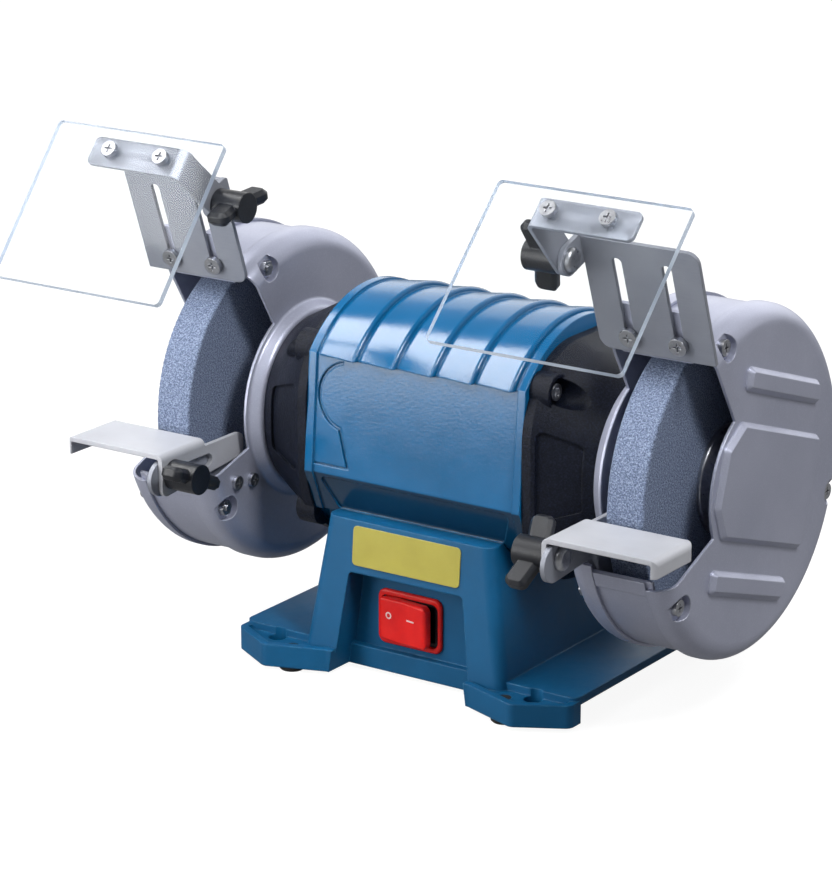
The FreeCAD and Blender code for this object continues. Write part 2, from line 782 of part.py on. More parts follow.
def end_bell():
    """Tapering end casting with a bearing seat, a winding chamber and four recessed bolt bosses."""
    x0, x1 = BELL_X0, BELL_X1
    lip = Part.Face(squircle(BELL_HALF_Y, BELL_HALF_Z, BELL_CORNER, x0)).extrude(V(BELL_LIP, 0, 0))
    cone = bell_cone(0).cut(bell_recesses())
    bosses = [rod_x(x0, x0 + BELL_BOSS_L, BELL_BOSS_R, y, z) for y, z in bell_bolt_places()]
    bell = fuse([lip, cone] + bosses)
    head_x = x0 + BELL_BOSS_L - BOLT_HEAD_RECESS
    tools = [
        ring_x(x0, BEARING_X0 - BELL_WALL, 0, WINDING_OUT_R + WINDING_ROOM),
        rod_x(x0, BEARING_X1, BEARING_R + FIT, 0, SHAFT_Z),
        rod_x(x0, x1, HUB_R + HUB_ROOM, 0, SHAFT_Z),
    ]
    for y, z in bell_bolt_places():
        tools.append(rod_x(x0, x1, BELL_BOLT_R + FIT, y, z))
        tools.append(rod_x(head_x, x1, BOLT_HEAD_RECESS_R, y, z))
    for y, z in guard_mount_places():
        tools.append(rod_x(BEARING_X1 - GUARD_MOUNT_DEEP, x1, GUARD_SCREW_R + FIT, y, z))
    return cut(bell, tools)


def bell_bolts():
    head_x = BELL_X0 + BELL_BOSS_L - BOLT_HEAD_RECESS
    bolts = []
    for y, z in bell_bolt_places():
        shank = rod_x(BELL_X0 - BELL_BOLT_GRIP + SCREW_END_GAP, head_x, BELL_BOLT_R, y, z)
        top = head_x + BELL_BOLT_HEAD_T
        head = rod_x(head_x, top, BELL_BOLT_HEAD_R, y, z)
        socket = hexagon_x(top - BELL_BOLT_SOCKET, top, BELL_BOLT_HEAD_R, y, z)
        bolts.append(fuse([shank, head]).cut(socket))
    return bolts


def build_motor():
    save("motor_housing", [motor_housing()])
    save("stator_core", [stator_core()])
    save("stator_windings", both_sides([winding()]))
    save("right_end_bell", [end_bell()])
    save("left_end_bell", [mirrored(end_bell())])
    save("end_bell_bolts", both_sides(bell_bolts()))


# Wheel guards

def drop_angle(drop):
    """Angle at which the guard's front rim lies a drop below the shaft."""
    return 180 + math.degrees(math.asin(drop / GUARD_R))


def opening_sector(x0, x1, arc_r, top, low):
    """Wedge in front of the wheel that leaves a guard piece open between two angles."""
    middle = (top + low) / 2
    reach = GUARD_R * 2

    def at(radius, angle):
        y, z = polar(radius, angle)
        return V(x0, y, z)
    edges = [
        Part.Arc(at(arc_r, top), at(arc_r, middle), at(arc_r, low)).toShape(),
        Part.LineSegment(at(arc_r, low), at(reach, low)).toShape(),
        Part.Arc(at(reach, low), at(reach, middle), at(reach, top)).toShape(),
        Part.LineSegment(at(reach, top), at(arc_r, top)).toShape(),
    ]
    return Part.Face(Part.Wire(edges)).extrude(V(x1 - x0, 0, 0))


def guard_screw_places():
    return [polar(GUARD_R - GUARD_SCREW_IN, a) for a in GUARD_SCREW_ANGLES]


def guard_mount_places():
    return [polar(GUARD_MOUNT_RING, a) for a in GUARD_MOUNT_ANGLES]


def lug_post_places():
    """Posts of the rest's lug: one above the lower tie screw, and one just outside the dish's collar."""
    y, z = guard_screw_places()[1]
    return [(y + LUG_POST_IN, z + LUG_POST_UP), polar(COLLAR_R + LUG_POST_OUT, LUG_POST_ANGLE)]


def dimpled(shell, filled, floor_x, way, hole_r):
    """Press a flat-bottomed dimple into a dish at each tie screw; way is +1 outwards along X."""
    for y, z in guard_screw_places():
        inside = floor_x - way * GUARD_T
        far = floor_x + way * GUARD_BEND
        cup = rod_x(min(inside, far), max(inside, far), DIMPLE_R + GUARD_T, y, z).common(filled)
        bowl = rod_x(min(floor_x, far), max(floor_x, far), DIMPLE_R, y, z)
        hole = rod_x(min(inside, floor_x), max(inside, floor_x), hole_r, y, z)
        shell = shell.fuse(cup).cut(bowl).cut(hole)
    return shell.removeSplitter()


INNER_FLOOR_X = GUARD_IN_X + DIMPLE_DEEP
COVER_FLOOR_X = GUARD_OUT_X - DIMPLE_DEEP


def guard_inner():
    """Deep-drawn inner dish with a raised collar that seats on the end bell."""
    t = GUARD_T
    x0, face, rim = BELL_X1, GUARD_IN_X, INNER_RIM_X
    flare = COLLAR_R + COLLAR_FLARE
    outside = [
        (x0, GUARD_BORE_R, 0), (x0, COLLAR_R, COLLAR_BEND), (face, flare, COLLAR_ROOT),
        (face, GUARD_R, GUARD_BEND), (rim, GUARD_R, 0),
    ]
    inside = [
        (rim, GUARD_R - t, 0), (face + t, GUARD_R - t, GUARD_BEND - t),
        (face + t, flare - t, COLLAR_ROOT + t), (x0 + t, COLLAR_R - t, COLLAR_BEND - t),
        (x0 + t, GUARD_BORE_R, 0),
    ]
    filled = turned([(face, 0, 0), (face, GUARD_R, GUARD_BEND), (rim, GUARD_R, 0), (rim, 0, 0)])
    dish = dimpled(turned(outside + inside), filled, INNER_FLOOR_X, -1, GUARD_SCREW_R + FIT)
    tools = [opening_sector(x0, rim, OPEN_ARC_INNER, OPEN_TOP, drop_angle(OPEN_DROP_INNER))]
    for y, z in guard_mount_places():
        tools.append(rod_x(x0, x0 + t, GUARD_SCREW_R + FIT, y, z))
    for y, z in lug_post_places():
        tools.append(rod_x(face, face + t, LUG_POST_SCREW_R + FIT, y, z))
    return cut(dish, tools)


def embossed(corners, tilted):
    """Pad pressed out of the cover from (u, v, radius) corners: its outside, and the hollow behind it."""
    def place(x):
        return lambda u, v: tilted(x, u, v)
    face_x = GUARD_OUT_X
    outline = rounded_wire(corners, place(face_x - GUARD_T))
    pad = Part.Face(outline).extrude(V(EMBOSS + GUARD_T, 0, 0))
    top = [e for e in pad.Edges if all(abs(v.X - face_x - EMBOSS) < TINY for v in e.Vertexes)]
    hollow = Part.Face(outline.makeOffset2D(-GUARD_T - EMBOSS_EDGE / 2)).extrude(V(EMBOSS, 0, 0))
    return pad.makeChamfer(EMBOSS_EDGE, top), hollow


def tilted_place(x, u, v):
    """Point on the cover in axes turned by the emboss tilt: u to the rear and down, v up."""
    a = math.radians(EMBOSS_TILT)
    return V(x, u * math.cos(a) + v * math.sin(a), SHAFT_Z - u * math.sin(a) + v * math.cos(a))


def cover_pads():
    """Two bars and a broad panel pressed outwards in the cover."""
    bar = [
        (BAR_FRONT_U, BAR_LOW_V, BAR_ROUND), (BAR_REAR_U, BAR_LOW_V, BAR_ROUND),
        (BAR_REAR_U - BAR_TAPER, BAR_HIGH_V, BAR_ROUND), (BAR_FRONT_U, BAR_HIGH_V, BAR_ROUND),
    ]
    front = math.sqrt(PANEL_FRONT_R ** 2 - PANEL_V ** 2)
    panel = [
        (-front, -PANEL_V, PANEL_ROUND), (PANEL_REAR_U, -PANEL_V, PANEL_ROUND),
        (PANEL_REAR_U, PANEL_V, PANEL_ROUND), (-front, PANEL_V, PANEL_ROUND),
        (-PANEL_FRONT_R, PANEL_V / 2, PANEL_ROUND), (-PANEL_FRONT_R, -PANEL_V / 2, PANEL_ROUND),
    ]
    lower = [(u, -v, r) for u, v, r in reversed(bar)]
    return [embossed(outline, tilted_place) for outline in (bar, panel, lower)]


def guard_cover():
    """Pressed outer cover with embossed pads and a dimple at each tie screw."""
    t = GUARD_T
    face, rim = GUARD_OUT_X, COVER_RIM_X
    shell = turned([
        (face, 0, 0), (face, GUARD_R, GUARD_BEND), (rim, GUARD_R, 0), (rim, GUARD_R - t, 0),
        (face - t, GUARD_R - t, GUARD_BEND - t), (face - t, 0, 0),
    ])
    filled = turned([(face, 0, 0), (face, GUARD_R, GUARD_BEND), (rim, GUARD_R, 0), (rim, 0, 0)])
    pads = cover_pads()
    shell = cut(fuse([shell] + [pad for pad, _ in pads]), [hollow for _, hollow in pads])
    shell = dimpled(shell, filled, COVER_FLOOR_X, 1, GUARD_SCREW_R + FIT)
    low_end = drop_angle(OPEN_DROP_COVER)
    return shell.cut(opening_sector(rim, face + EMBOSS, OPEN_ARC_COVER, OPEN_TOP, low_end))


def plate_point(up, rear):
    """Point (y, z) beside the spark plate: up its slope, and behind its rear face."""
    a = math.radians(PLATE_LEAN)
    y = PLATE_FOOT_Y - up * math.sin(a) + rear * math.cos(a)
    return y, PLATE_FOOT_Z + up * math.cos(a) + rear * math.sin(a)


def plate_prism(corners, x0, x1):
    """Outline of (up, rear, radius) corners in the spark plate's axes, swept along X."""
    return prism_x([plate_point(up, rear) + (r,) for up, rear, r in corners], x0, x1)


def plate_rod(x, up, r, rear0, rear1):
    """Rod square to the spark plate."""
    y0, z0 = plate_point(up, rear0)
    y1, z1 = plate_point(up, rear1)
    start = V(x, y0, z0)
    way = V(x, y1, z1) - start
    return Part.makeCylinder(r, way.Length, start, way)


def spark_screw_places():
    return [PLATE_X - PLATE_SLOT_PITCH / 2, PLATE_X + PLATE_SLOT_PITCH / 2]


def guard_band():
    """Rolled band between the two dishes, hemmed below and turned up into a tab above."""
    outer = GUARD_R - GUARD_T - SEAT_FIT
    inner = outer - GUARD_T
    band = ring_x(BAND_X0, BAND_X1, inner, outer)
    low_end = drop_angle(OPEN_DROP_BAND)
    band = band.cut(opening_sector(BAND_X0, BAND_X1, inner / 2, BAND_TOP, low_end))
    hem_angle = math.degrees(BAND_HEM / outer)
    hem = ring_x(INNER_RIM_X + SEAT_FIT, COVER_RIM_X - SEAT_FIT, outer - BAND_HEM_BITE,
                 outer + BAND_HEM_T)
    hem_end = low_end + hem_angle
    hem = hem.common(opening_sector(BAND_X0, BAND_X1, inner / 2, low_end, hem_end))
    back = SLIDE_GAP + TAB_T
    tab = plate_prism([
        (-TAB_ROOT, SLIDE_GAP, 0), (TAB_L, SLIDE_GAP, 0), (TAB_L, back, 0), (-TAB_ROOT, back, 0),
    ], BAND_X0, BAND_X1)
    whole = fuse([band, hem, tab])
    deep = back + 2 * SCREW_TAIL
    holes = [plate_rod(x, SPARK_SCREW_UP, SPARK_SCREW_R + FIT, 0, deep) for x in spark_screw_places()]
    return cut(whole, holes)


def guard_screws():
    """Tie screws from the cover through to nuts in the inner dish's dimples."""
    solids = []
    tail_x = INNER_FLOOR_X - GUARD_NUT_T - SCREW_END_GAP
    for y, z in guard_screw_places():
        shank = rod_x(tail_x, COVER_FLOOR_X, GUARD_SCREW_R, y, z)
        head = rod_x(COVER_FLOOR_X, COVER_FLOOR_X + PAN_HEAD_T, PAN_HEAD_R, y, z)
        solids.append(crossed(fuse([shank, head]), V(COVER_FLOOR_X + PAN_HEAD_T, y, z), AXIS_X))
        nut = hexagon_x(INNER_FLOOR_X - GUARD_NUT_T, INNER_FLOOR_X, GUARD_NUT_FLATS, y, z)
        solids.append(nut.cut(rod_x(tail_x, INNER_FLOOR_X, GUARD_SCREW_R + FIT, y, z)))
    return solids


def crossed(screw, top, way):
    """Cut a cross recess into a screw's head; way points out of the head."""
    way = V(way).normalize()
    across = way.cross(V(0, 0, 1))
    across.normalize()
    other = way.cross(across)
    for one, two in ((across, other), (other, across)):
        along = one * CROSS_L
        aside = two * CROSS_W
        corner = top - along / 2 - aside / 2 - way * CROSS_DEEP
        points = [corner, corner + along, corner + along + aside, corner + aside, corner]
        screw = screw.cut(Part.Face(Part.makePolygon(points)).extrude(way * (CROSS_DEEP + PAST)))
    return screw


def guard_mount_screws():
    """Screws that hold the inner dish to the end bell, from the wheel side."""
    seat = BELL_X1 + GUARD_T
    solids = []
    tail_x = BEARING_X1 - GUARD_MOUNT_DEEP + SCREW_END_GAP
    for y, z in guard_mount_places():
        shank = rod_x(tail_x, seat, GUARD_SCREW_R, y, z)
        head = rod_x(seat, seat + PAN_HEAD_T, PAN_HEAD_R, y, z)
        solids.append(crossed(fuse([shank, head]), V(seat + PAN_HEAD_T, y, z), AXIS_X))
    return solids


def build_guards():
    for name, piece in (
        ("guard_inner", guard_inner()), ("guard_band", guard_band()), ("guard_cover", guard_cover()),
    ):
        save("right_" + name, [piece])
        save("left_" + name, [mirrored(piece)])
    save("guard_tie_screws", both_sides(guard_screws()))
    save("guard_mount_screws", both_sides(guard_mount_screws()))


# Spark plates, shields and their knobs

def spark_plate():
    """Flat plate with two adjusting slots and a bent lug for the shield pivot."""
    x0 = PLATE_X - PLATE_W / 2
    x1 = PLATE_X + PLATE_W / 2
    a = math.radians(PLATE_LEAN)
    rise = V(0, -math.sin(a), math.cos(a))
    front = V(0, -math.cos(a), -math.sin(a)) * PLATE_T
    foot = V(0, PLATE_FOOT_Y, PLATE_FOOT_Z)

    def place(x, up):
        return foot + rise * up + V(x, 0, 0)
    outline = [
        (x0, 0, PLATE_CORNER), (x1, 0, PLATE_EDGE_R), (x1, PLATE_L, PLATE_CORNER), (x0, PLATE_L, 0),
    ]
    lug_low, lug_high = PIVOT_UP - LUG_R, PIVOT_UP + LUG_R
    hinge_edge = [
        (x0 - LUG_T, lug_low, 0), (x0 + LUG_ROOT, lug_low, 0),
        (x0 + LUG_ROOT, PLATE_L, 0), (x0 - LUG_T, PLATE_L, LUG_CORNER),
    ]
    plate = Part.Face(rounded_wire(outline, place)).extrude(front)
    plate = plate.fuse(Part.Face(rounded_wire(hinge_edge, place)).extrude(front))
    nose = -PIVOT_OUT - LUG_R
    nose_r = LUG_R - ROUND_SLACK
    lug = plate_prism([
        (lug_low, 0, 0), (lug_high, 0, LUG_CORNER), (lug_high, nose, nose_r), (lug_low, nose, nose_r),
    ], x0 - LUG_T, x0)
    whole = fuse([plate, lug])
    half = PLATE_SLOT_W / 2
    end_r = half - ROUND_SLACK
    low, high = PLATE_SLOT_LOW, PLATE_SLOT_LOW + PLATE_SLOT_L
    tools = []
    for x in spark_screw_places():
        slot = [
            (x - half, low, end_r), (x + half, low, end_r), (x + half, high, end_r), (x - half, high, end_r),
        ]
        tools.append(Part.Face(rounded_wire(slot, place)).extrude(front))
    y, z = plate_point(PIVOT_UP, -PIVOT_OUT)
    tools.append(rod_x(x0 - LUG_T, x0, PIVOT_R + FIT, y, z))
    return cut(whole, tools)


def spark_screws():
    """Clamp screws through the plate's slots into nuts behind the tab."""
    solids = []
    head_at = -PLATE_T - SLIDE_GAP
    back = SLIDE_GAP + TAB_T
    a = math.radians(PLATE_LEAN)
    out = V(0, -math.cos(a), -math.sin(a))
    for x in spark_screw_places():
        shank = plate_rod(x, SPARK_SCREW_UP, SPARK_SCREW_R, head_at, back + SCREW_TAIL)
        head = plate_rod(x, SPARK_SCREW_UP, SPARK_HEAD_R, head_at - PAN_HEAD_T, head_at)
        top = V(x, *plate_point(SPARK_SCREW_UP, head_at - PAN_HEAD_T))
        solids.append(crossed(fuse([shank, head]), top, out))
        nut = plate_rod(x, SPARK_SCREW_UP, GUARD_NUT_FLATS / 2, back, back + GUARD_NUT_T)
        thread = plate_rod(x, SPARK_SCREW_UP, SPARK_SCREW_R + FIT, back, back + GUARD_NUT_T)
        solids.append(nut.cut(thread))
    return solids


PIVOT_Y, PIVOT_Z = plate_point(PIVOT_UP, -PIVOT_OUT)
LUG_X = PLATE_X - PLATE_W / 2 - LUG_T
ARM_X1 = LUG_X - SLIDE_GAP
ARM_X0 = ARM_X1 - STRIP_T


def tilted(shape, degrees):
    """Turn a shield piece about the pivot, lower edge towards the operator."""
    shape.rotate(V(0, PIVOT_Y, PIVOT_Z), AXIS_X, -degrees)
    return shape


STRIP_TOP_Z = PIVOT_Z + SHIELD_RISE - STRIP_DROP
STRIP_FACE_Y = PIVOT_Y - SHIELD_ARM


def shield_screw_xs():
    return [ARM_X0 + SHIELD_SCREW_IN, ARM_X0 + SHIELD_SCREW_IN + SHIELD_SCREW_PITCH]


def shield_screw_z():
    return STRIP_TOP_Z - STRIP_H / 2


def eye_shield():
    """Clear pane, upright before it is tilted."""
    x0 = SHIELD_X - SHIELD_W / 2
    x1 = SHIELD_X + SHIELD_W / 2
    top = PIVOT_Z + SHIELD_RISE
    r = SHIELD_CORNER
    outline = [(x0, top - SHIELD_H, r), (x1, top - SHIELD_H, r), (x1, top, r), (x0, top, r)]
    pane = prism_y(outline, STRIP_FACE_Y - SHIELD_T, STRIP_FACE_Y)
    hole_r = SHIELD_SCREW_R + FIT
    holes = []
    for x in shield_screw_xs():
        holes.append(rod_y(STRIP_FACE_Y - SHIELD_T, STRIP_FACE_Y, hole_r, x, shield_screw_z()))
    return cut(pane, holes)


def shield_bracket():
    """Strip behind the pane, bent back into a tapering arm that ends at the pivot."""
    x0, x1 = ARM_X0, ARM_X0 + STRIP_L
    y0, y1 = STRIP_FACE_Y, STRIP_FACE_Y + STRIP_T
    low = STRIP_TOP_Z - STRIP_H
    rear, eye_r = PIVOT_Y + LUG_R, LUG_R - ROUND_SLACK
    bend = [
        (x0, rear, 0), (x0, y0, STRIP_BEND), (x1, y0, 0), (x1, y1, 0),
        (x0 + STRIP_T, y1, STRIP_BEND - STRIP_T), (x0 + STRIP_T, rear, 0),
    ]
    sheet = prism_z(bend, min(low, PIVOT_Z - LUG_R), max(STRIP_TOP_Z, PIVOT_Z + LUG_R))
    arm = prism_x([
        (y0 - PAST, low, 0), (rear, PIVOT_Z - LUG_R, eye_r),
        (rear, PIVOT_Z + LUG_R, eye_r), (y0 - PAST, STRIP_TOP_Z, 0),
    ], x0 - PAST, x0 + STRIP_T)
    strip = prism_y([
        (x0 - PAST, low, 0), (x1, low, STRIP_CORNER),
        (x1, STRIP_TOP_Z, STRIP_CORNER), (x0 - PAST, STRIP_TOP_Z, 0),
    ], y0 - PAST, y1 + STRIP_BEND)
    bracket = sheet.common(fuse([arm, strip]))
    tools = [rod_x(x0, x0 + STRIP_T, PIVOT_R + FIT, PIVOT_Y, PIVOT_Z)]
    for x in shield_screw_xs():
        tools.append(rod_y(y0, y1, SHIELD_SCREW_R + FIT, x, shield_screw_z()))
    return cut(bracket, tools)


def shield_screws():
    """Pan-head screws through the pane and the strip, with nuts behind."""
    face = STRIP_FACE_Y - SHIELD_T
    back = STRIP_FACE_Y + STRIP_T
    solids = []
    for x in shield_screw_xs():
        z = shield_screw_z()
        shank = rod_y(face, back + SCREW_TAIL, SHIELD_SCREW_R, x, z)
        head = rod_y(face - PAN_HEAD_T, face, PAN_HEAD_R, x, z)
        solids.append(crossed(fuse([shank, head]), V(x, face - PAN_HEAD_T, z), V(0, -1, 0)))
        nut = rod_y(back, back + GUARD_NUT_T, GUARD_NUT_FLATS / 2, x, z)
        solids.append(nut.cut(rod_y(back, back + GUARD_NUT_T, SHIELD_SCREW_R + FIT, x, z)))
    return solids


def carriage_bolt(head_x, tail_x, r, y, z):
    """Round-headed bolt lying along X, head at the greater X."""
    shank = rod_x(tail_x, head_x, r, y, z)
    cap = rod_x(head_x, head_x + BOLT_CAP_T, BOLT_CAP_R, y, z)
    rim = [e for e in cap.Edges if e.BoundBox.XMin > head_x + BOLT_CAP_T - TINY]
    return fuse([shank, cap.makeFillet(BOLT_CAP_T - BOLT_CAP_RIM, rim)])


def wing_knob(seat_x, y, z, turn):
    """Moulded wing knob; seat_x is the face that clamps, and the wings spread away from it."""
    end_x = seat_x - KNOB_L
    hub = rod_x(end_x, seat_x, KNOB_HUB_R, y, z)
    wing_x0 = end_x - KNOB_WING_OUT
    half = KNOB_WING_T / 2
    root = KNOB_HUB_R - KNOB_WING_BITE
    seat, cup = seat_x - KNOB_SEAT_H, end_x + KNOB_CUP
    sweep = [
        (seat, 0, 0), (seat, root, 0), (wing_x0 + KNOB_WING_L, KNOB_SPAN, KNOB_BACK_R),
        (wing_x0, KNOB_SPAN, KNOB_TIP_R), (cup, root, KNOB_ROUND), (cup, 0, 0),
    ]

    def wing(way):
        face = Part.Face(rounded_wire(sweep, lambda x, r: V(x, y - half, z + way * r)))
        blade = face.extrude(V(0, KNOB_WING_T, 0))
        clear = KNOB_HUB_R + KNOB_WING_BITE
        flat = [e for e in blade.Edges if e.BoundBox.YLength < TINY]
        return blade.makeChamfer(KNOB_ROUND, [e for e in flat if abs(e.CenterOfMass.z - z) > clear])
    knob = fuse([hub, wing(1), wing(-1)])
    knob = knob.cut(rod_x(end_x + KNOB_SEAT_H, seat_x, PIVOT_R + KNOB_FIT, y, z))
    knob.rotate(V(0, y, z), AXIS_X, turn)
    return knob


def build_shields():
    plate = spark_plate()
    save("right_spark_plate", [plate])
    save("left_spark_plate", [mirrored(plate)])
    save("spark_plate_screws", both_sides(spark_screws()))
    bolt = carriage_bolt(LUG_X + LUG_T, ARM_X0 - KNOB_L + BOLT_SHORT, PIVOT_R, PIVOT_Y, PIVOT_Z)
    for side, tilt, turn in (
        ("right", SHIELD_TILT_RIGHT, SHIELD_KNOB_TURN), ("left", SHIELD_TILT_LEFT, SHIELD_KNOB_TURN_LEFT),
    ):
        pieces = {
            "eye_shield": [tilted(eye_shield(), tilt)],
            "shield_bracket": [tilted(shield_bracket(), tilt)],
            "shield_screws": [tilted(s, tilt) for s in shield_screws()],
            "shield_pivot_bolt": [bolt],
            "shield_knob": [wing_knob(ARM_X0 - SLIDE_GAP, PIVOT_Y, PIVOT_Z, turn)],
        }
        for name, solids in pieces.items():
            save(side + "_" + name, solids if side == "right" else [mirrored(s) for s in solids])


# Tool rests

LUG_PLATE_X = REST_X0 + REST_T + REST_FIT


def tool_rest():
    """Folded rest: table, turned-down outer lip, and a slotted cheek that slides on the lug."""
    x0, x1 = REST_X0, REST_X0 + REST_L
    t, b, top = REST_T, REST_BEND, REST_TOP_Z
    cheek_low = top - REST_CHEEK_FRONT_H
    lip_low = top - REST_LIP
    fold = [
        (x0, cheek_low, 0), (x0, top, b), (x1, top, b), (x1, lip_low, 0), (x1 - t, lip_low, 0),
        (x1 - t, top - t, b - t), (x0 + t, top - t, b - t), (x0 + t, cheek_low, 0),
    ]
    table = prism_y(fold, REST_FRONT_Y, REST_REAR_Y)
    trim = prism_z([
        (x0, REST_FRONT_Y, 0), (x1, REST_FRONT_Y, REST_CORNER),
        (x1, REST_REAR_Y, REST_CORNER), (x0, REST_REAR_Y, 0),
    ], 0, FAR)
    cheek_top = top - b
    tail = REST_REAR_Y + REST_CHEEK_TAIL
    rear_low = cheek_top - REST_CHEEK_REAR_H
    cheek = prism_x([
        (REST_FRONT_Y, cheek_low, REST_CHEEK_R), (tail, rear_low, REST_CHEEK_R),
        (tail, cheek_top, REST_CHEEK_R), (REST_REAR_Y, cheek_top, 0),
        (REST_FRONT_Y, cheek_top, 0),
    ], x0, x0 + t)
    front_slice = prism_x([
        (REST_FRONT_Y, cheek_low, REST_CHEEK_R), (tail, rear_low, 0),
        (tail, FAR, 0), (REST_FRONT_Y, FAR, 0),
    ], 0, x0 + t + b)
    outer = box(x0 + t, FAR, -FAR, FAR, 0, FAR)
    table = table.common(trim).common(fuse([front_slice, outer]))
    slot_r = REST_BOLT_R + REST_FIT
    far_y = REST_BOLT_Y + REST_TRAVEL + REST_FIT
    slot = box(x0, x0 + t, REST_BOLT_Y, far_y, REST_BOLT_Z - slot_r, REST_BOLT_Z + slot_r)
    ends = [rod_x(x0, x0 + t, slot_r, y, REST_BOLT_Z) for y in (REST_BOLT_Y, far_y)]
    return cut(fuse([table, cheek]), [slot] + ends)


def rest_lug():
    """Lug that carries the rest: a nosed plate on two posts fixed to the inner dish."""
    x0, x1 = LUG_PLATE_X, LUG_PLATE_X + LUG_PLATE_T
    places = lug_post_places()
    (outer_y, outer_z), (inner_y, inner_z) = places
    nose_low = REST_BOLT_Z - LUG_NOSE_R
    nose_high = REST_TOP_Z - REST_T - LUG_UNDER_TABLE
    front = REST_BOLT_Y - LUG_NOSE_OUT - LUG_NOSE_R
    nose_r = (nose_high - nose_low - LUG_NOSE_FLAT) / 2
    edge = LUG_POST_R + LUG_POST_EDGE
    first, rear = outer_y - edge, inner_y + edge
    plate = prism_x([
        (front, nose_low, nose_r), (first - LUG_NECK_Y, nose_low + LUG_NECK_Z, LUG_NECK_R),
        (first, outer_z - edge, LUG_NECK_R), (rear, inner_z - edge, LUG_FOOT_R),
        (rear, nose_high - LUG_FALL, LUG_FOOT_R),
        (front + LUG_CREST, nose_high, LUG_CREST_R), (front, nose_high, nose_r),
    ], x0, x1)
    posts = [rod_x(GUARD_IN_X + GUARD_T, x0, LUG_POST_R, y, z) for y, z in places]
    tools = [rod_x(x0, x1, REST_BOLT_R + FIT, REST_BOLT_Y, REST_BOLT_Z)]
    for y, z in places:
        tools.append(rod_x(GUARD_IN_X, x0 + LUG_SCREW_BITE, LUG_POST_SCREW_R + FIT, y, z))
    return cut(fuse([plate] + posts), tools)


def lug_screws():
    top_x = GUARD_IN_X - SMALL_HEAD_T
    solids = []
    for y, z in lug_post_places():
        shank = rod_x(GUARD_IN_X, LUG_PLATE_X, LUG_POST_SCREW_R, y, z)
        head = rod_x(top_x, GUARD_IN_X, SMALL_HEAD_R, y, z)
        solids.append(crossed(fuse([shank, head]), V(top_x, y, z), V(-1, 0, 0)))
    return solids


def build_rests():
    rest = tool_rest()
    lug = rest_lug()
    head_x, tail_x = LUG_PLATE_X + LUG_PLATE_T, REST_X0 - KNOB_L + BOLT_SHORT
    bolt = carriage_bolt(head_x, tail_x, REST_BOLT_R, REST_BOLT_Y, REST_BOLT_Z)
    knob = wing_knob(REST_X0 - REST_FIT, REST_BOLT_Y, REST_BOLT_Z, REST_KNOB_TURN)
    left_knob = wing_knob(REST_X0 - REST_FIT, REST_BOLT_Y, REST_BOLT_Z, REST_KNOB_TURN_LEFT)
    for name, right, left in (
        ("tool_rest", rest, rest), ("rest_lug", lug, lug), ("rest_bolt", bolt, bolt),
        ("rest_knob", knob, left_knob),
    ):
        save("right_" + name, [right])
        save("left_" + name, [mirrored(left)])
    save("rest_lug_screws", both_sides(lug_screws()))


# Base

def foot_outline():
    """Corners of the base in plan, with chamfered toes and waisted front and rear edges."""
    rear_right = [
        (BASE_SIDE_X, BASE_CORNER_Y, BASE_ROUND), (BASE_TOE_X, BASE_TOE_Y, BASE_ROUND),
        (BASE_WAIST_X, BASE_WAIST_Y, BASE_ROUND),
    ]
    rear = rear_right + [(-x, y, r) for x, y, r in reversed(rear_right)]
    return rear + [(x, -y, r) for x, y, r in reversed(rear)]


def foot_slab(inset, z0, z1):
    """Slab of the base's plan, drawn in all round by an inset."""
    outline = rounded_wire(foot_outline(), lambda x, y: V(x, y, z0))
    if inset:
        outline = outline.makeOffset2D(-inset)
    return Part.Face(outline).extrude(V(0, 0, z1 - z0))


def post_loft(shrink, radius, z0, z1):
    """Tapering pedestal between two heights, drawn in all round by a wall."""
    span = POST_TOP_Z - FOOT_LIFT

    def section(z):
        k = (z - FOOT_LIFT) / span
        x = POST_LOW_X + (POST_TOP_X - POST_LOW_X) * k - shrink
        y = POST_LOW_Y + (POST_TOP_Y - POST_LOW_Y) * k - shrink
        return rounded_wire(corner_box(x, y, radius), lambda a, b: V(a, b, z))
    return Part.makeLoft([section(z0), section(z1)], True)


def post_face_y(z):
    """Distance from the middle to the pedestal's front face at a height."""
    k = (z - FOOT_LIFT) / (POST_TOP_Z - FOOT_LIFT)
    return POST_LOW_Y + (POST_TOP_Y - POST_LOW_Y) * k


BAY_Y = -(post_face_y(BAY_TOP_Z) - BAY_DEEP)


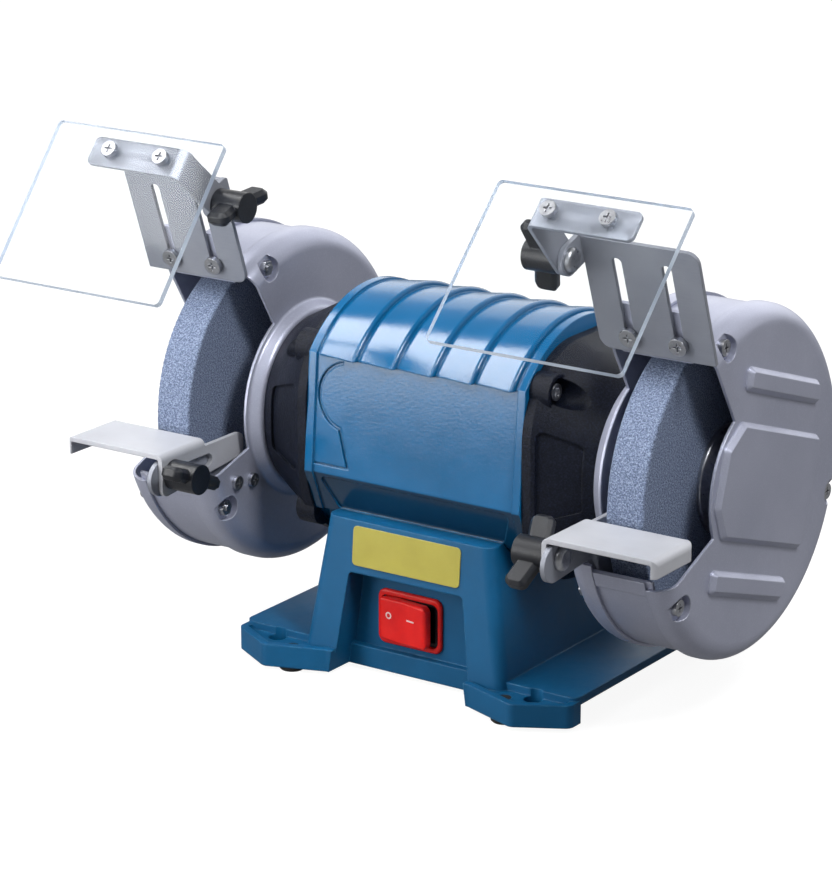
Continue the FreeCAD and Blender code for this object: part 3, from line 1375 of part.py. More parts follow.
def base_stand():
    """Hollow pedestal with four lipped feet, a saddle for the motor and a recessed switch bay."""
    feet = foot_slab(0, FOOT_LIFT, FOOT_LIFT + FOOT_H)
    pocket = foot_slab(FOOT_LIP, FOOT_LIFT + FOOT_FLOOR, FOOT_LIFT + FOOT_H)
    arch = box(POST_LOW_X, FAR, -SIDE_ARCH_Y, SIDE_ARCH_Y, 0, SIDE_ARCH_Z)
    web_plan = corner_box(BASE_SIDE_X, SIDE_ARCH_Y + FOOT_LIP, BASE_ROUND)
    web = prism_z(web_plan, SIDE_ARCH_Z, SIDE_ARCH_Z + SIDE_WEB_T)
    post = post_loft(0, POST_ROUND, FOOT_LIFT, POST_TOP_Z)
    bay = prism_y([
        (-BAY_LOW_X, 0, 0), (BAY_LOW_X, 0, 0),
        (BAY_TOP_X, BAY_TOP_Z, BAY_ROUND), (-BAY_TOP_X, BAY_TOP_Z, BAY_ROUND),
    ], -FAR, BAY_Y)
    bay = bay.cut(box(-FAR, FAR, BAY_Y - BAY_LEDGE, FAR, 0, BAY_LEDGE_Z))
    cavity = post_loft(POST_WALL, POST_INNER_ROUND, 0, DECK_Z)
    cavity = cavity.cut(box(-FAR, FAR, -FAR, BAY_Y + POST_WALL, 0, FAR))
    saddle_r = STATOR_R + HOUSING_WALL_BELOW + SADDLE_FIT
    chin = [(y + math.copysign(SADDLE_FIT, y), z - SADDLE_FIT, r) for y, z, r in housing_section()]
    body = cut(fuse([feet.cut(pocket), web, post]), [
        arch, mirrored(arch), bay, cavity, rod_x(-FAR, FAR, saddle_r, 0, SHAFT_Z), prism_x(chin, -FAR, FAR),
    ])
    posts = [rod_z(FOOT_LIFT + BOTTOM_T, DECK_Z, BOTTOM_POST_R, x, y) for x, y in bottom_screw_places()]
    gland_y = post_face_y(GLAND_Z)
    pad = rod_y(gland_y - POST_WALL / 2, gland_y + GLAND_PAD, GLAND_PAD_R, GLAND_X, GLAND_Z)
    body = fuse([body, pad] + posts)
    tools = [rod_z(0, FAR, BENCH_HOLE_R, x, y) for x, y in corners_of(BENCH_X, BENCH_Y)]
    floor = FOOT_LIFT + FOOT_FLOOR
    tools += [rod_z(0, floor, RUBBER_STEM_R + FIT, x, y) for x, y in corners_of(RUBBER_X, RUBBER_Y)]
    tools += [rod_z(0, POST_TOP_Z, HOUSING_BOLT_R + FIT, x, 0) for x in (-HOUSING_BOLT_X, HOUSING_BOLT_X)]
    screw_top = FOOT_LIFT + BOTTOM_SCREW_L
    tools += [rod_z(0, screw_top, BOTTOM_SCREW_R + FIT, x, y) for x, y in bottom_screw_places()]
    tools.append(switch_hole())
    tools.append(rod_y(0, FAR, GLAND_NECK_R + FIT, GLAND_X, GLAND_Z))
    tools.append(bottom_recess())
    return cut(body, tools)


def corner_box(x, y, radius):
    """Corners of a rectangle about the middle, in plan."""
    return [(-x, -y, radius), (x, -y, radius), (x, y, radius), (-x, y, radius)]


def corners_of(x, y):
    return [(sx * x, sy * y) for sx in (-1, 1) for sy in (-1, 1)]


def bottom_screw_places():
    rows = (BOTTOM_SCREW_FRONT_Y, BOTTOM_SCREW_REAR_Y)
    return [(x, y) for x in (-BOTTOM_SCREW_X, BOTTOM_SCREW_X) for y in rows]


def bottom_outline(grow):
    x = POST_LOW_X - POST_WALL / 2 + grow
    front = BAY_Y + POST_WALL / 2 - grow
    rear = POST_LOW_Y - POST_WALL / 2 + grow
    r = BOTTOM_ROUND
    return [(-x, front, r), (x, front, r), (x, rear, r), (-x, rear, r)]


def bottom_recess():
    return prism_z(bottom_outline(SEAT_FIT), FOOT_LIFT, FOOT_LIFT + BOTTOM_T)


def bottom_cover():
    """Steel plate that closes the underside of the pedestal."""
    plate = prism_z(bottom_outline(0), FOOT_LIFT, FOOT_LIFT + BOTTOM_T)
    holes = [rod_z(0, FOOT_LIFT + BOTTOM_T, BOTTOM_SCREW_R + FIT, x, y) for x, y in bottom_screw_places()]
    return cut(plate, holes)


def bottom_screws():
    solids = []
    for x, y in bottom_screw_places():
        shank = rod_z(FOOT_LIFT, FOOT_LIFT + BOTTOM_SCREW_L - SCREW_END_GAP, BOTTOM_SCREW_R, x, y)
        head = rod_z(FOOT_LIFT - BOTTOM_HEAD_T, FOOT_LIFT, SMALL_HEAD_R, x, y)
        solids.append(fuse([shank, head]))
    return solids


def rubber_feet():
    solids = []
    for x, y in corners_of(RUBBER_X, RUBBER_Y):
        pad = rod_z(0, FOOT_LIFT, RUBBER_R, x, y)
        edge = [e for e in pad.Edges if e.BoundBox.ZMax < TINY]
        stem = rod_z(FOOT_LIFT, FOOT_LIFT + FOOT_FLOOR, RUBBER_STEM_R, x, y)
        solids.append(fuse([pad.makeChamfer(RUBBER_CHAMFER, edge), stem]))
    return solids


def housing_bolts():
    top = HOUSING_BOLT_TOP - SCREW_END_GAP
    solids = []
    for x in (-HOUSING_BOLT_X, HOUSING_BOLT_X):
        shank = rod_z(DECK_Z, top, HOUSING_BOLT_R, x, 0)
        head = rod_z(DECK_Z - HOUSING_BOLT_HEAD_T, DECK_Z, HOUSING_BOLT_HEAD_R, x, 0)
        solids.append(fuse([shank, head]))
    return solids


def capacitor():
    """Run capacitor, a round can with a stud, lying over the bottom cover."""
    half = CAP_L / 2
    can = rod_x(-half, half, CAP_R, CAP_Y, CAP_Z)
    ends = [e for e in can.Edges if e.BoundBox.XLength < TINY]
    stud = rod_x(half, half + CAP_STUD_L, CAP_STUD_R, CAP_Y, CAP_Z)
    return fuse([can.makeFillet(CAP_ROUND, ends), stud])


def capacitor_clip():
    """Saddle strap that holds the capacitor down on the bottom cover."""
    half = CLIP_W / 2
    r0, r1 = CAP_R + SEAT_FIT, CAP_R + SEAT_FIT + CLIP_T
    floor = FOOT_LIFT + BOTTOM_T
    hoop = rod_x(-half, half, r1, CAP_Y, CAP_Z)
    legs = box(-half, half, CAP_Y - r1, CAP_Y + r1, floor, CAP_Z)
    feet = box(-half, half, CAP_Y - r1 - CLIP_FOOT, CAP_Y + r1 + CLIP_FOOT, floor, floor + CLIP_T)
    strap = cut(fuse([hoop, legs]), [
        rod_x(-half, half, r0, CAP_Y, CAP_Z), box(-half, half, CAP_Y - r0, CAP_Y + r0, floor, CAP_Z),
    ])
    cradle = box(-half, half, CAP_Y - r0, CAP_Y + r0, floor, CAP_Z - CAP_R + CLIP_CRADLE)
    cradle = cradle.cut(rod_x(-half, half, r0, CAP_Y, CAP_Z))
    return fuse([strap, feet, cradle])


def build_base():
    save("base_stand", [base_stand()])
    save("bottom_cover", [bottom_cover()])
    save("bottom_cover_screws", bottom_screws())
    save("rubber_feet", rubber_feet())
    save("housing_bolts", housing_bolts())
    save("capacitor", [capacitor()])
    save("capacitor_clip", [capacitor_clip()])
    save("cable_gland", [cable_gland()])


# Switch and cable gland

def switch_outline(width, height, radius):
    x0, x1 = SWITCH_X - width / 2, SWITCH_X + width / 2
    z0, z1 = SWITCH_Z - height / 2, SWITCH_Z + height / 2
    return [(x0, z0, radius), (x1, z0, radius), (x1, z1, radius), (x0, z1, radius)]


def switch_hole():
    outline = switch_outline(SWITCH_BODY_W + 2 * SEAT_FIT, SWITCH_BODY_H + 2 * SEAT_FIT, SWITCH_ROUND)
    return prism_y(outline, -FAR, BAY_Y + POST_WALL)


def switch_bezel():
    """Moulded frame of the rocker switch, standing on the bay's panel."""
    frame = prism_y(switch_outline(SWITCH_W, SWITCH_H, BEZEL_ROUND), BAY_Y - BEZEL_PROUD, BAY_Y)
    front = [e for e in frame.Edges if e.BoundBox.YMax < BAY_Y - BEZEL_PROUD + TINY]
    frame = frame.makeChamfer(BEZEL_EDGE, front)
    swing = (ROCKER_PROUD + ROCKER_DEEP) * math.sin(math.radians(ROCKER_TILT))
    width = ROCKER_W + 2 * (swing + ROCKER_FIT)
    well = prism_y(switch_outline(width, ROCKER_H + 2 * ROCKER_FIT, ROCKER_CORNER), -FAR, BAY_Y)
    return frame.cut(well)


def switch_body():
    """Open-fronted box of the switch behind the panel, with three terminals."""
    y1 = BAY_Y + SWITCH_BODY_DEEP
    w = SWITCH_BODY_WALL
    shell = prism_y(switch_outline(SWITCH_BODY_W, SWITCH_BODY_H, SWITCH_ROUND), BAY_Y, y1)
    room = switch_outline(SWITCH_BODY_W - 2 * w, ROCKER_NECK_H + 2 * ROCKER_FIT, SWITCH_ROUND / 2)
    inner = prism_y(room, BAY_Y, y1 - SWITCH_BODY_BACK)
    z0, z1 = SWITCH_Z - BLADE_T / 2, SWITCH_Z + BLADE_T / 2
    blades = []
    for middle in (SWITCH_X - BLADE_PITCH, SWITCH_X, SWITCH_X + BLADE_PITCH):
        blades.append(box(middle - BLADE_W / 2, middle + BLADE_W / 2, y1, y1 + BLADE_L, z0, z1))
    pin_half = ROCKER_NECK_H / 2 + ROCKER_PIN_OUT + ROCKER_PIN_GAP
    pin_hole = rod_z(SWITCH_Z - pin_half, SWITCH_Z + pin_half, ROCKER_PIN_R + FIT, SWITCH_X, ROCKER_PIN_Y)
    return cut(fuse([shell] + blades), [inner, pin_hole])


ROCKER_PIN_Y = BAY_Y + ROCKER_DEEP


def switch_rocker():
    """Rocker with a broad rounded cap that tips about an upright pin, pressed in on its left side."""
    half, neck_half = ROCKER_W / 2, ROCKER_NECK_W / 2
    front, skirt = BAY_Y - ROCKER_PROUD, BAY_Y - ROCKER_SKIRT
    low, high = SWITCH_Z - ROCKER_H / 2, SWITCH_Z + ROCKER_H / 2
    plan = prism_z([
        (SWITCH_X - half, skirt, 0), (SWITCH_X - half, front, ROCKER_EDGE),
        (SWITCH_X, front + ROCKER_DISH, ROCKER_DISH_R), (SWITCH_X + half, front, ROCKER_EDGE),
        (SWITCH_X + half, skirt, 0),
    ], low, high)
    side = prism_x([
        (skirt, low, 0), (front, low, ROCKER_EDGE), (front, high, ROCKER_EDGE), (skirt, high, 0),
    ], -FAR, FAR)
    face = prism_y(switch_outline(ROCKER_W, ROCKER_H, ROCKER_CORNER), -FAR, 0)
    neck = prism_z([
        (SWITCH_X - neck_half, skirt, 0), (SWITCH_X + neck_half, skirt, 0),
        (SWITCH_X, ROCKER_PIN_Y + ROCKER_BACK, ROCKER_BACK_R),
    ], SWITCH_Z - ROCKER_NECK_H / 2, SWITCH_Z + ROCKER_NECK_H / 2)
    pin_half = ROCKER_NECK_H / 2 + ROCKER_PIN_OUT
    pin = rod_z(SWITCH_Z - pin_half, SWITCH_Z + pin_half, ROCKER_PIN_R, SWITCH_X, ROCKER_PIN_Y)
    rocker = fuse([plan.common(side).common(face), neck, pin])
    rocker.rotate(V(SWITCH_X, ROCKER_PIN_Y, SWITCH_Z), V(0, 0, 1), -ROCKER_TILT)
    return rocker


def cable_gland():
    """Screwed gland on the rear of the pedestal: a neck through the wall, a hexagon and a domed nut."""
    wall_y = post_face_y(GLAND_Z) + GLAND_PAD
    y1 = wall_y + GLAND_PROUD
    inside = wall_y - GLAND_PAD - POST_WALL - GLAND_INSIDE
    neck = rod_y(inside, y1 - GLAND_TIP, GLAND_NECK_R, GLAND_X, GLAND_Z)
    reach = GLAND_FLATS / math.sqrt(3)
    angles = [math.radians(60 * i) for i in range(6)]
    corners = [(GLAND_X + reach * math.cos(a), GLAND_Z + reach * math.sin(a), 0) for a in angles]
    hexagon = prism_y(corners, wall_y, wall_y + GLAND_HEX_T)
    dome = rod_y(wall_y + GLAND_HEX_T, y1, GLAND_R, GLAND_X, GLAND_Z)
    tip = [e for e in dome.Edges if e.BoundBox.YMin > y1 - TINY]
    whole = fuse([neck, hexagon, dome.makeFillet(GLAND_TIP, tip)])
    return whole.cut(rod_y(inside, y1, GLAND_BORE_R, GLAND_X, GLAND_Z))


def build_switch():
    save("switch_bezel", [switch_bezel()])
    save("switch_body", [switch_body()])
    save("switch_rocker", [switch_rocker()])


os.makedirs("parts", exist_ok=True)
build_rotor()
build_motor()
build_guards()
build_shields()
build_rests()
build_base()
build_switch()
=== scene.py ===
import json
import math
import bpy
import bmesh
from mathutils import Matrix, Vector
from mathutils.bvhtree import BVHTree


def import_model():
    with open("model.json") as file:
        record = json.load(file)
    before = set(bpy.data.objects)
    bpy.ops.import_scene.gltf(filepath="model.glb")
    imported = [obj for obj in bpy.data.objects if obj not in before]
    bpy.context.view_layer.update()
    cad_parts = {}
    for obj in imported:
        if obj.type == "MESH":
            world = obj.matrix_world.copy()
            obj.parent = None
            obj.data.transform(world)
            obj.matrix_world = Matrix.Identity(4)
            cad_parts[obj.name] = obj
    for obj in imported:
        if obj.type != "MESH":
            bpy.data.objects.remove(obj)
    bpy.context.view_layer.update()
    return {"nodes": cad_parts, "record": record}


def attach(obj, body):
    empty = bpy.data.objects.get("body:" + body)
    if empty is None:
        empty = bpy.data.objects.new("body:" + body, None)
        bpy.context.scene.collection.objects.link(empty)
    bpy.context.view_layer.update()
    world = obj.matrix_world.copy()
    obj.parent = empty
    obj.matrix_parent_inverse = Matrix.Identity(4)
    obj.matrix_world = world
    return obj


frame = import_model()
nodes = frame["nodes"]
scene = bpy.context.scene

# The camera that was fitted to the photograph, in metres and degrees
CAMERA_AZIMUTH = 34.374
CAMERA_ELEVATION = 17.010
CAMERA_DISTANCE = 1.76197
CAMERA_TARGET = Vector((-0.035707, 0.0, 0.109061))
FOCAL_PIXELS = 3510.99
IMAGE_HEIGHT = 869

# Sloping front face of the base, repeated from the part's own sizes: (depth, height) in metres
POST_FACE_TOP = (0.0595, 0.081)
POST_FACE_LOW = (0.066, 0.0025)

# The yellow plate on that face, in metres
PLATE_TOP_Z = 0.0785
PLATE_LOW_Z = 0.0585
PLATE_HALF_X = 0.0315
PLATE_THICK = 0.0006
PLATE_CORNER = 0.0022
CORNER_STEPS = 4

# The rocker's marks, in metres: middles as (x, z), a ring for off and a bar for on
OFF_MARK = (-0.0155, 0.0328)
OFF_MARK_RADII = (0.0018, 0.0011)
ON_MARK = (-0.0015, 0.0328)
ON_MARK_LENGTH = 0.0048
ON_MARK_WIDTH = 0.0008
MARK_LIFT = 0.00005
IN_FRONT_Y = -0.3


class Shader:
    """A material with one Principled shader, and short ways to add the nodes that feed it."""

    def __init__(self, name):
        self.mat = bpy.data.materials.new(name)
        self.mat.use_nodes = True
        self.tree = self.mat.node_tree
        self.bsdf = self.tree.nodes["Principled BSDF"]
        self.place = self.add("ShaderNodeTexCoord").outputs["Object"]

    def add(self, kind, **settings):
        """New node of a kind, with its settings."""
        node = self.tree.nodes.new(kind)
        for key, value in settings.items():
            setattr(node, key, value)
        return node

    def link(self, source, target):
        """Join an output socket to an input socket."""
        self.tree.links.new(source, target)

    def set(self, **values):
        """Set plain inputs of the Principled shader; an underscore stands for a space."""
        for key, value in values.items():
            self.bsdf.inputs[key.replace("_", " ")].default_value = value

    def stretched(self, x, y, z):
        """Object coordinates scaled along each axis."""
        node = self.add("ShaderNodeMapping")
        node.inputs["Scale"].default_value = (x, y, z)
        self.link(self.place, node.inputs["Vector"])
        return node.outputs["Vector"]

    def noise(self, scale, detail=3.0, rough=0.55, vector=None):
        """Fractal noise from 0 to 1."""
        node = self.add("ShaderNodeTexNoise")
        node.inputs["Scale"].default_value = scale
        node.inputs["Detail"].default_value = detail
        node.inputs["Roughness"].default_value = rough
        self.link(vector or self.place, node.inputs["Vector"])
        return node.outputs["Fac"]

    def cells(self, scale):
        """Distance to the middle of the nearest cell."""
        node = self.add("ShaderNodeTexVoronoi", feature="F1")
        node.inputs["Scale"].default_value = scale
        self.link(self.place, node.inputs["Vector"])
        return node.outputs["Distance"]

    def ramp(self, value, *stops):
        """Colour ramp through (position, colour) stops; a colour may be one grey number."""
        node = self.add("ShaderNodeValToRGB")
        points = node.color_ramp.elements
        while len(points) < len(stops):
            points.new(0.5)
        for point, (at, colour) in zip(points, stops):
            point.position = at
            grey = isinstance(colour, float)
            point.color = (colour, colour, colour, 1) if grey else (*colour, 1)
        self.link(value, node.inputs["Fac"])
        return node.outputs["Color"]

    def mix(self, factor, a, b, blend="MIX"):
        """Mix two colours; each may be a socket or a plain colour, and the factor a number."""
        node = self.add("ShaderNodeMix", data_type="RGBA", blend_type=blend)
        factor_in, a_in, b_in = node.inputs[0], node.inputs[6], node.inputs[7]
        for socket, value in ((factor_in, factor), (a_in, a), (b_in, b)):
            if isinstance(value, bpy.types.NodeSocket):
                self.link(value, socket)
            elif isinstance(value, (int, float)):
                socket.default_value = value
            else:
                socket.default_value = (*value, 1)
        return node.outputs[2]

    def math(self, operation, *values):
        """One sum on sockets or numbers."""
        node = self.add("ShaderNodeMath", operation=operation)
        for socket, value in zip(node.inputs, values):
            if isinstance(value, bpy.types.NodeSocket):
                self.link(value, socket)
            else:
                socket.default_value = value
        return node.outputs[0]

    def soft_edges(self, radius):
        """Normal with every hard edge rounded over, as paint and moulding leave it."""
        node = self.add("ShaderNodeBevel", samples=6)
        node.inputs["Radius"].default_value = radius
        return node.outputs["Normal"]

    def normal(self):
        """The surface's own direction in object coordinates."""
        return self.add("ShaderNodeTexCoord").outputs["Normal"]

    def edge_mask(self, radius, low=0.015, high=0.12):
        """White along hard edges, from how far the rounded normal leaves the plain one."""
        dot = self.add("ShaderNodeVectorMath", operation="DOT_PRODUCT")
        self.link(self.soft_edges(radius), dot.inputs[0])
        self.link(self.add("ShaderNodeNewGeometry").outputs["Normal"], dot.inputs[1])
        away = self.math("SUBTRACT", 1.0, dot.outputs["Value"])
        return self.ramp(away, (low, 0.0), (high, 1.0))

    def rubbed(self, radius, grain, least, most):
        """Patchy wear along hard edges, from least to most."""
        patches = self.ramp(self.noise(grain), (0.4, least), (0.7, most))
        return self.math("MULTIPLY", self.edge_mask(radius), patches)

    def bump(self, height, strength, depth, normal=None):
        """Normal raised by a height, over another normal if there is one."""
        node = self.add("ShaderNodeBump")
        node.inputs["Strength"].default_value = strength
        node.inputs["Distance"].default_value = depth
        self.link(height, node.inputs["Height"])
        if normal:
            self.link(normal, node.inputs["Normal"])
        return node.outputs["Normal"]

    def finish(self, colour, roughness, normal):
        """Feed the Principled shader and give the material back."""
        for name, socket in (("Base Color", colour), ("Roughness", roughness), ("Normal", normal)):
            self.link(socket, self.bsdf.inputs[name])
        return self.mat


def blue_paint(name, dark, light, gloss, smooth, dull):
    """Enamel with a faint orange peel, lighter edges that are partly rubbed wear and partly painted
    highlight, and painted shade darkening the surfaces that face down.
    """
    s = Shader(name)
    s.set(IOR=1.5, Specular_IOR_Level=gloss)
    tone_and_shade = s.ramp(s.noise(22, 4), (0.35, dark), (0.7, light))
    # Painted shade: surfaces that face down are darkened to a quarter of their colour.
    facing = s.add("ShaderNodeSeparateXYZ")
    s.link(s.normal(), facing.inputs[0])
    upward = s.math("MULTIPLY_ADD", facing.outputs["Z"], 0.5, 0.5)
    underside_shade = s.ramp(upward, (0.30, 0.25), (0.48, 1.0))
    tone_and_shade = s.mix(1.0, tone_and_shade, underside_shade, "MULTIPLY")
    # Lighter blue along hard edges: partly rubbed wear, partly painted highlight.
    patches = s.ramp(s.noise(160, 3), (0.45, 0.0), (0.7, 0.55))
    rubbed = s.math("MULTIPLY", s.edge_mask(0.0009), patches)
    colour = s.mix(rubbed, tone_and_shade, (0.06, 0.27, 0.46))
    rough = s.ramp(s.noise(90, 5), (0.3, smooth), (0.75, dull))
    normal = s.bump(s.noise(650, 2), 0.10, 0.0004, s.soft_edges(0.0011))
    return s.finish(colour, rough, normal)


def black_paint():
    """Wrinkle paint: fine closed ridges, a little greyer on top where it is rubbed."""
    s = Shader("black_wrinkle")
    s.set(IOR=1.5, Specular_IOR_Level=0.2)
    grain = s.noise(1100, 4, 0.6)
    ridges = s.ramp(grain, (0.45, 0.0), (0.75, 1.0))
    colour = s.mix(ridges, (0.003, 0.0045, 0.010), (0.012, 0.016, 0.034))
    rough = s.ramp(s.noise(80), (0.3, 0.36), (0.7, 0.50))
    normal = s.bump(grain, 0.45, 0.0009, s.soft_edges(0.0010))
    return s.finish(colour, rough, normal)


def grey_paint():
    """Silver-grey sprayed sheet with a fine metallic fleck and rubbed rims."""
    s = Shader("silver_enamel")
    s.set(Metallic=0.5, IOR=1.5)
    fleck = s.noise(1500, 2)
    cloud = s.ramp(s.noise(14, 4), (0.3, (0.38, 0.40, 0.51)), (0.75, (0.47, 0.49, 0.61)))
    colour = s.mix(s.ramp(fleck, (0.5, 0.0), (0.8, 0.35)), cloud, (0.62, 0.65, 0.76))
    colour = s.mix(s.rubbed(0.0007, 220, 0.1, 0.6), colour, (0.62, 0.63, 0.66))
    rough = s.ramp(s.noise(60, 5), (0.3, 0.34), (0.75, 0.46))
    normal = s.bump(fleck, 0.06, 0.0003, s.soft_edges(0.0008))
    return s.finish(colour, rough, normal)


def plated_sheet(name, metal, dark, light):
    """Zinc-plated sheet, brushed along its length, with handling marks."""
    s = Shader(name)
    s.set(Metallic=metal)
    lines = s.noise(60, 5, 0.7, s.stretched(2.0, 30.0, 30.0))
    cloud = s.ramp(s.noise(30, 3), (0.3, dark), (0.7, light))
    brushed = tuple(1.25 * c for c in light)
    colour = s.mix(s.ramp(lines, (0.3, 0.0), (0.75, 0.3)), cloud, brushed)
    rough = s.ramp(lines, (0.3, 0.42), (0.7, 0.58))
    normal = s.bump(lines, 0.05, 0.0003, s.soft_edges(0.0006))
    return s.finish(colour, rough, normal)


def bright_steel():
    """Turned and plated fasteners, with faint tool marks."""
    s = Shader("bright_steel")
    s.set(Metallic=1.0)
    marks = s.noise(500, 4, 0.6)
    colour = s.ramp(marks, (0.3, (0.36, 0.37, 0.40)), (0.7, (0.50, 0.51, 0.54)))
    rough = s.ramp(s.noise(240), (0.3, 0.26), (0.7, 0.42))
    normal = s.bump(marks, 0.05, 0.0002, s.soft_edges(0.0005))
    return s.finish(colour, rough, normal)


def abrasive():
    """Bonded grit: pale grains in a blue-grey bond, with open pores."""
    s = Shader("bonded_grit")
    s.set(IOR=1.45)
    grain = s.cells(900)
    speck = s.noise(1300, 3, 0.7)
    pore, binder, chip = (0.06, 0.08, 0.14), (0.165, 0.21, 0.32), (0.38, 0.45, 0.60)
    bond = s.ramp(speck, (0.34, pore), (0.52, binder), (0.72, chip))
    colour = s.mix(s.ramp(grain, (0.0, 0.55), (0.35, 0.0)), bond, (0.36, 0.43, 0.56))
    rough = s.ramp(speck, (0.3, 0.80), (0.7, 0.98))
    height = s.math("ADD", grain, speck)
    return s.finish(colour, rough, s.bump(height, 0.7, 0.0006, s.soft_edges(0.0006)))


def clear_pane(side, across):
    """Clear acrylic with hairline scratches and sawn, frosted edges, their dark blue-grey tone a
    painted shade; lamps shine through it.

    The direction across the sheet tells its faces from its edges.
    """
    s = Shader(side + "_acrylic")
    s.set(IOR=1.15)
    hair = s.noise(90, 6, 0.75, s.stretched(1.0, 14.0, 14.0))
    dot = s.add("ShaderNodeVectorMath", operation="DOT_PRODUCT")
    dot.inputs[1].default_value = across
    s.link(s.normal(), dot.inputs[0])
    faced = s.math("ABSOLUTE", dot.outputs["Value"])
    clear = s.ramp(faced, (0.6, 0.0), (0.9, 1.0))
    s.link(s.ramp(faced, (0.6, 0.35), (0.9, 1.0)), s.bsdf.inputs["Transmission Weight"])
    # Painted shade: the sawn edges get a dark blue-grey colour.
    colour = s.mix(clear, (0.45, 0.53, 0.65), (0.97, 0.985, 0.99))
    rough = s.mix(clear, (0.5, 0.5, 0.5), s.ramp(hair, (0.5, 0.015), (0.8, 0.07)))
    mat = s.finish(colour, rough, s.bump(hair, 0.015, 0.0001))
    path = s.add("ShaderNodeLightPath")
    tint = s.add("ShaderNodeBsdfTransparent")
    tint.inputs["Color"].default_value = (0.93, 0.95, 0.96, 1)
    mix = s.add("ShaderNodeMixShader")
    s.link(path.outputs["Is Shadow Ray"], mix.inputs[0])
    s.link(s.bsdf.outputs[0], mix.inputs[1])
    s.link(tint.outputs[0], mix.inputs[2])
    s.link(mix.outputs[0], s.tree.nodes["Material Output"].inputs["Surface"])
    return mat


def moulded(name, dark, light, rough_low, rough_high, grain=900.0, depth=0.0003):
    """Moulded plastic or rubber with a fine spark-eroded grain."""
    s = Shader(name)
    s.set(IOR=1.5)
    texture = s.noise(grain, 3)
    colour = s.ramp(s.noise(70, 4), (0.3, dark), (0.75, light))
    worn = tuple(min(c * 2.2 + 0.02, 1.0) for c in light)
    colour = s.mix(s.rubbed(0.0006, 200, 0.0, 0.5), colour, worn)
    rough = s.ramp(texture, (0.3, rough_low), (0.7, rough_high))
    return s.finish(colour, rough, s.bump(texture, 0.15, depth, s.soft_edges(0.0008)))


def red_plastic():
    """Glossy red switch plastic that lets a little light in."""
    mat = moulded("red_switch", dark=(0.66, 0.010, 0.010), light=(0.80, 0.020, 0.016),
                  rough_low=0.16, rough_high=0.26, grain=500.0, depth=0.0001)
    shader = mat.node_tree.nodes["Principled BSDF"]
    shader.inputs["Specular IOR Level"].default_value = 0.35
    shader.inputs["Subsurface Weight"].default_value = 0.35
    shader.inputs["Subsurface Radius"].default_value = (1.0, 0.15, 0.1)
    shader.inputs["Subsurface Scale"].default_value = 0.004
    return mat


def lamination():
    """Stacked electrical sheet: fine dark lines square to the shaft."""
    s = Shader("stacked_sheet")
    s.set(Metallic=0.8)
    wave = s.add("ShaderNodeTexWave", bands_direction="X")
    wave.inputs["Scale"].default_value = 320
    s.link(s.place, wave.inputs["Vector"])
    colour = s.ramp(wave.outputs["Fac"], (0.2, (0.10, 0.10, 0.11)), (0.8, (0.30, 0.30, 0.32)))
    rough = s.ramp(s.noise(120), (0.3, 0.40), (0.7, 0.55))
    return s.finish(colour, rough, s.bump(wave.outputs["Fac"], 0.3, 0.0003))


def copper_wire():
    """Lacquered winding, wound round the shaft line."""
    s = Shader("lacquered_wire")
    s.set(Metallic=0.75, Coat_Weight=0.4)
    strands = s.noise(40, 3, 0.6, s.stretched(16.0, 3.0, 3.0))
    colour = s.ramp(strands, (0.3, (0.22, 0.07, 0.02)), (0.7, (0.55, 0.24, 0.09)))
    rough = s.ramp(strands, (0.3, 0.28), (0.7, 0.45))
    return s.finish(colour, rough, s.bump(strands, 0.5, 0.0008))


def label_plate():
    """Bare olive-yellow plate, slightly worn and printed with nothing."""
    s = Shader("yellow_plate")
    s.set(IOR=1.5)
    colour = s.ramp(s.noise(60, 5), (0.3, (0.38, 0.33, 0.048)), (0.75, (0.43, 0.375, 0.06)))
    colour = s.mix(s.rubbed(0.0005, 300, 0.1, 0.7), colour, (0.62, 0.57, 0.26))
    rough = s.ramp(s.noise(180), (0.3, 0.30), (0.7, 0.45))
    return s.finish(colour, rough, s.bump(s.noise(900, 2), 0.05, 0.0001, s.soft_edges(0.0004)))


def mark_paint():
    """Pale paint in the switch's marks, thin in places."""
    s = Shader("pale_mark")
    colour = s.ramp(s.noise(700, 3), (0.3, (0.62, 0.40, 0.38)), (0.7, (0.85, 0.70, 0.68)))
    rough = s.ramp(s.noise(500), (0.3, 0.35), (0.7, 0.5))
    return s.finish(colour, rough, s.bump(s.noise(900), 0.1, 0.0001))


def largest_face(node):
    """Direction of a node's largest face."""
    return max(nodes[node].data.polygons, key=lambda face: face.area).normal


SLOT_LOOKS = {
    # The base's enamel is a fifth darker than the housing's: partly its own deeper blue, partly
    # painted shade.
    "blue_paint": blue_paint("base_enamel", dark=(0.0008, 0.078, 0.190), light=(0.0014, 0.098, 0.236),
                             gloss=0.35, smooth=0.44, dull=0.54),
    "black_paint": black_paint(),
    "grey_paint": grey_paint(),
    "plated_sheet": plated_sheet("plated_sheet", metal=0.4, dark=(0.22, 0.235, 0.28),
                                 light=(0.29, 0.305, 0.35)),
    "bright_steel": bright_steel(),
    "abrasive": abrasive(),
    "black_plastic": moulded("black_plastic", dark=(0.004, 0.005, 0.008), light=(0.012, 0.014, 0.020),
                             rough_low=0.32, rough_high=0.48),
    "red_plastic": red_plastic(),
    "black_rubber": moulded("black_rubber", dark=(0.008, 0.008, 0.008), light=(0.018, 0.018, 0.018),
                            rough_low=0.65, rough_high=0.85),
    "lamination": lamination(),
    "copper_wire": copper_wire(),
    "can": plated_sheet("drawn_can", metal=0.9, dark=(0.56, 0.56, 0.57), light=(0.68, 0.68, 0.69)),
}
pale_sheet = plated_sheet("pale_sheet", metal=0.25, dark=(0.43, 0.44, 0.48), light=(0.51, 0.52, 0.56))
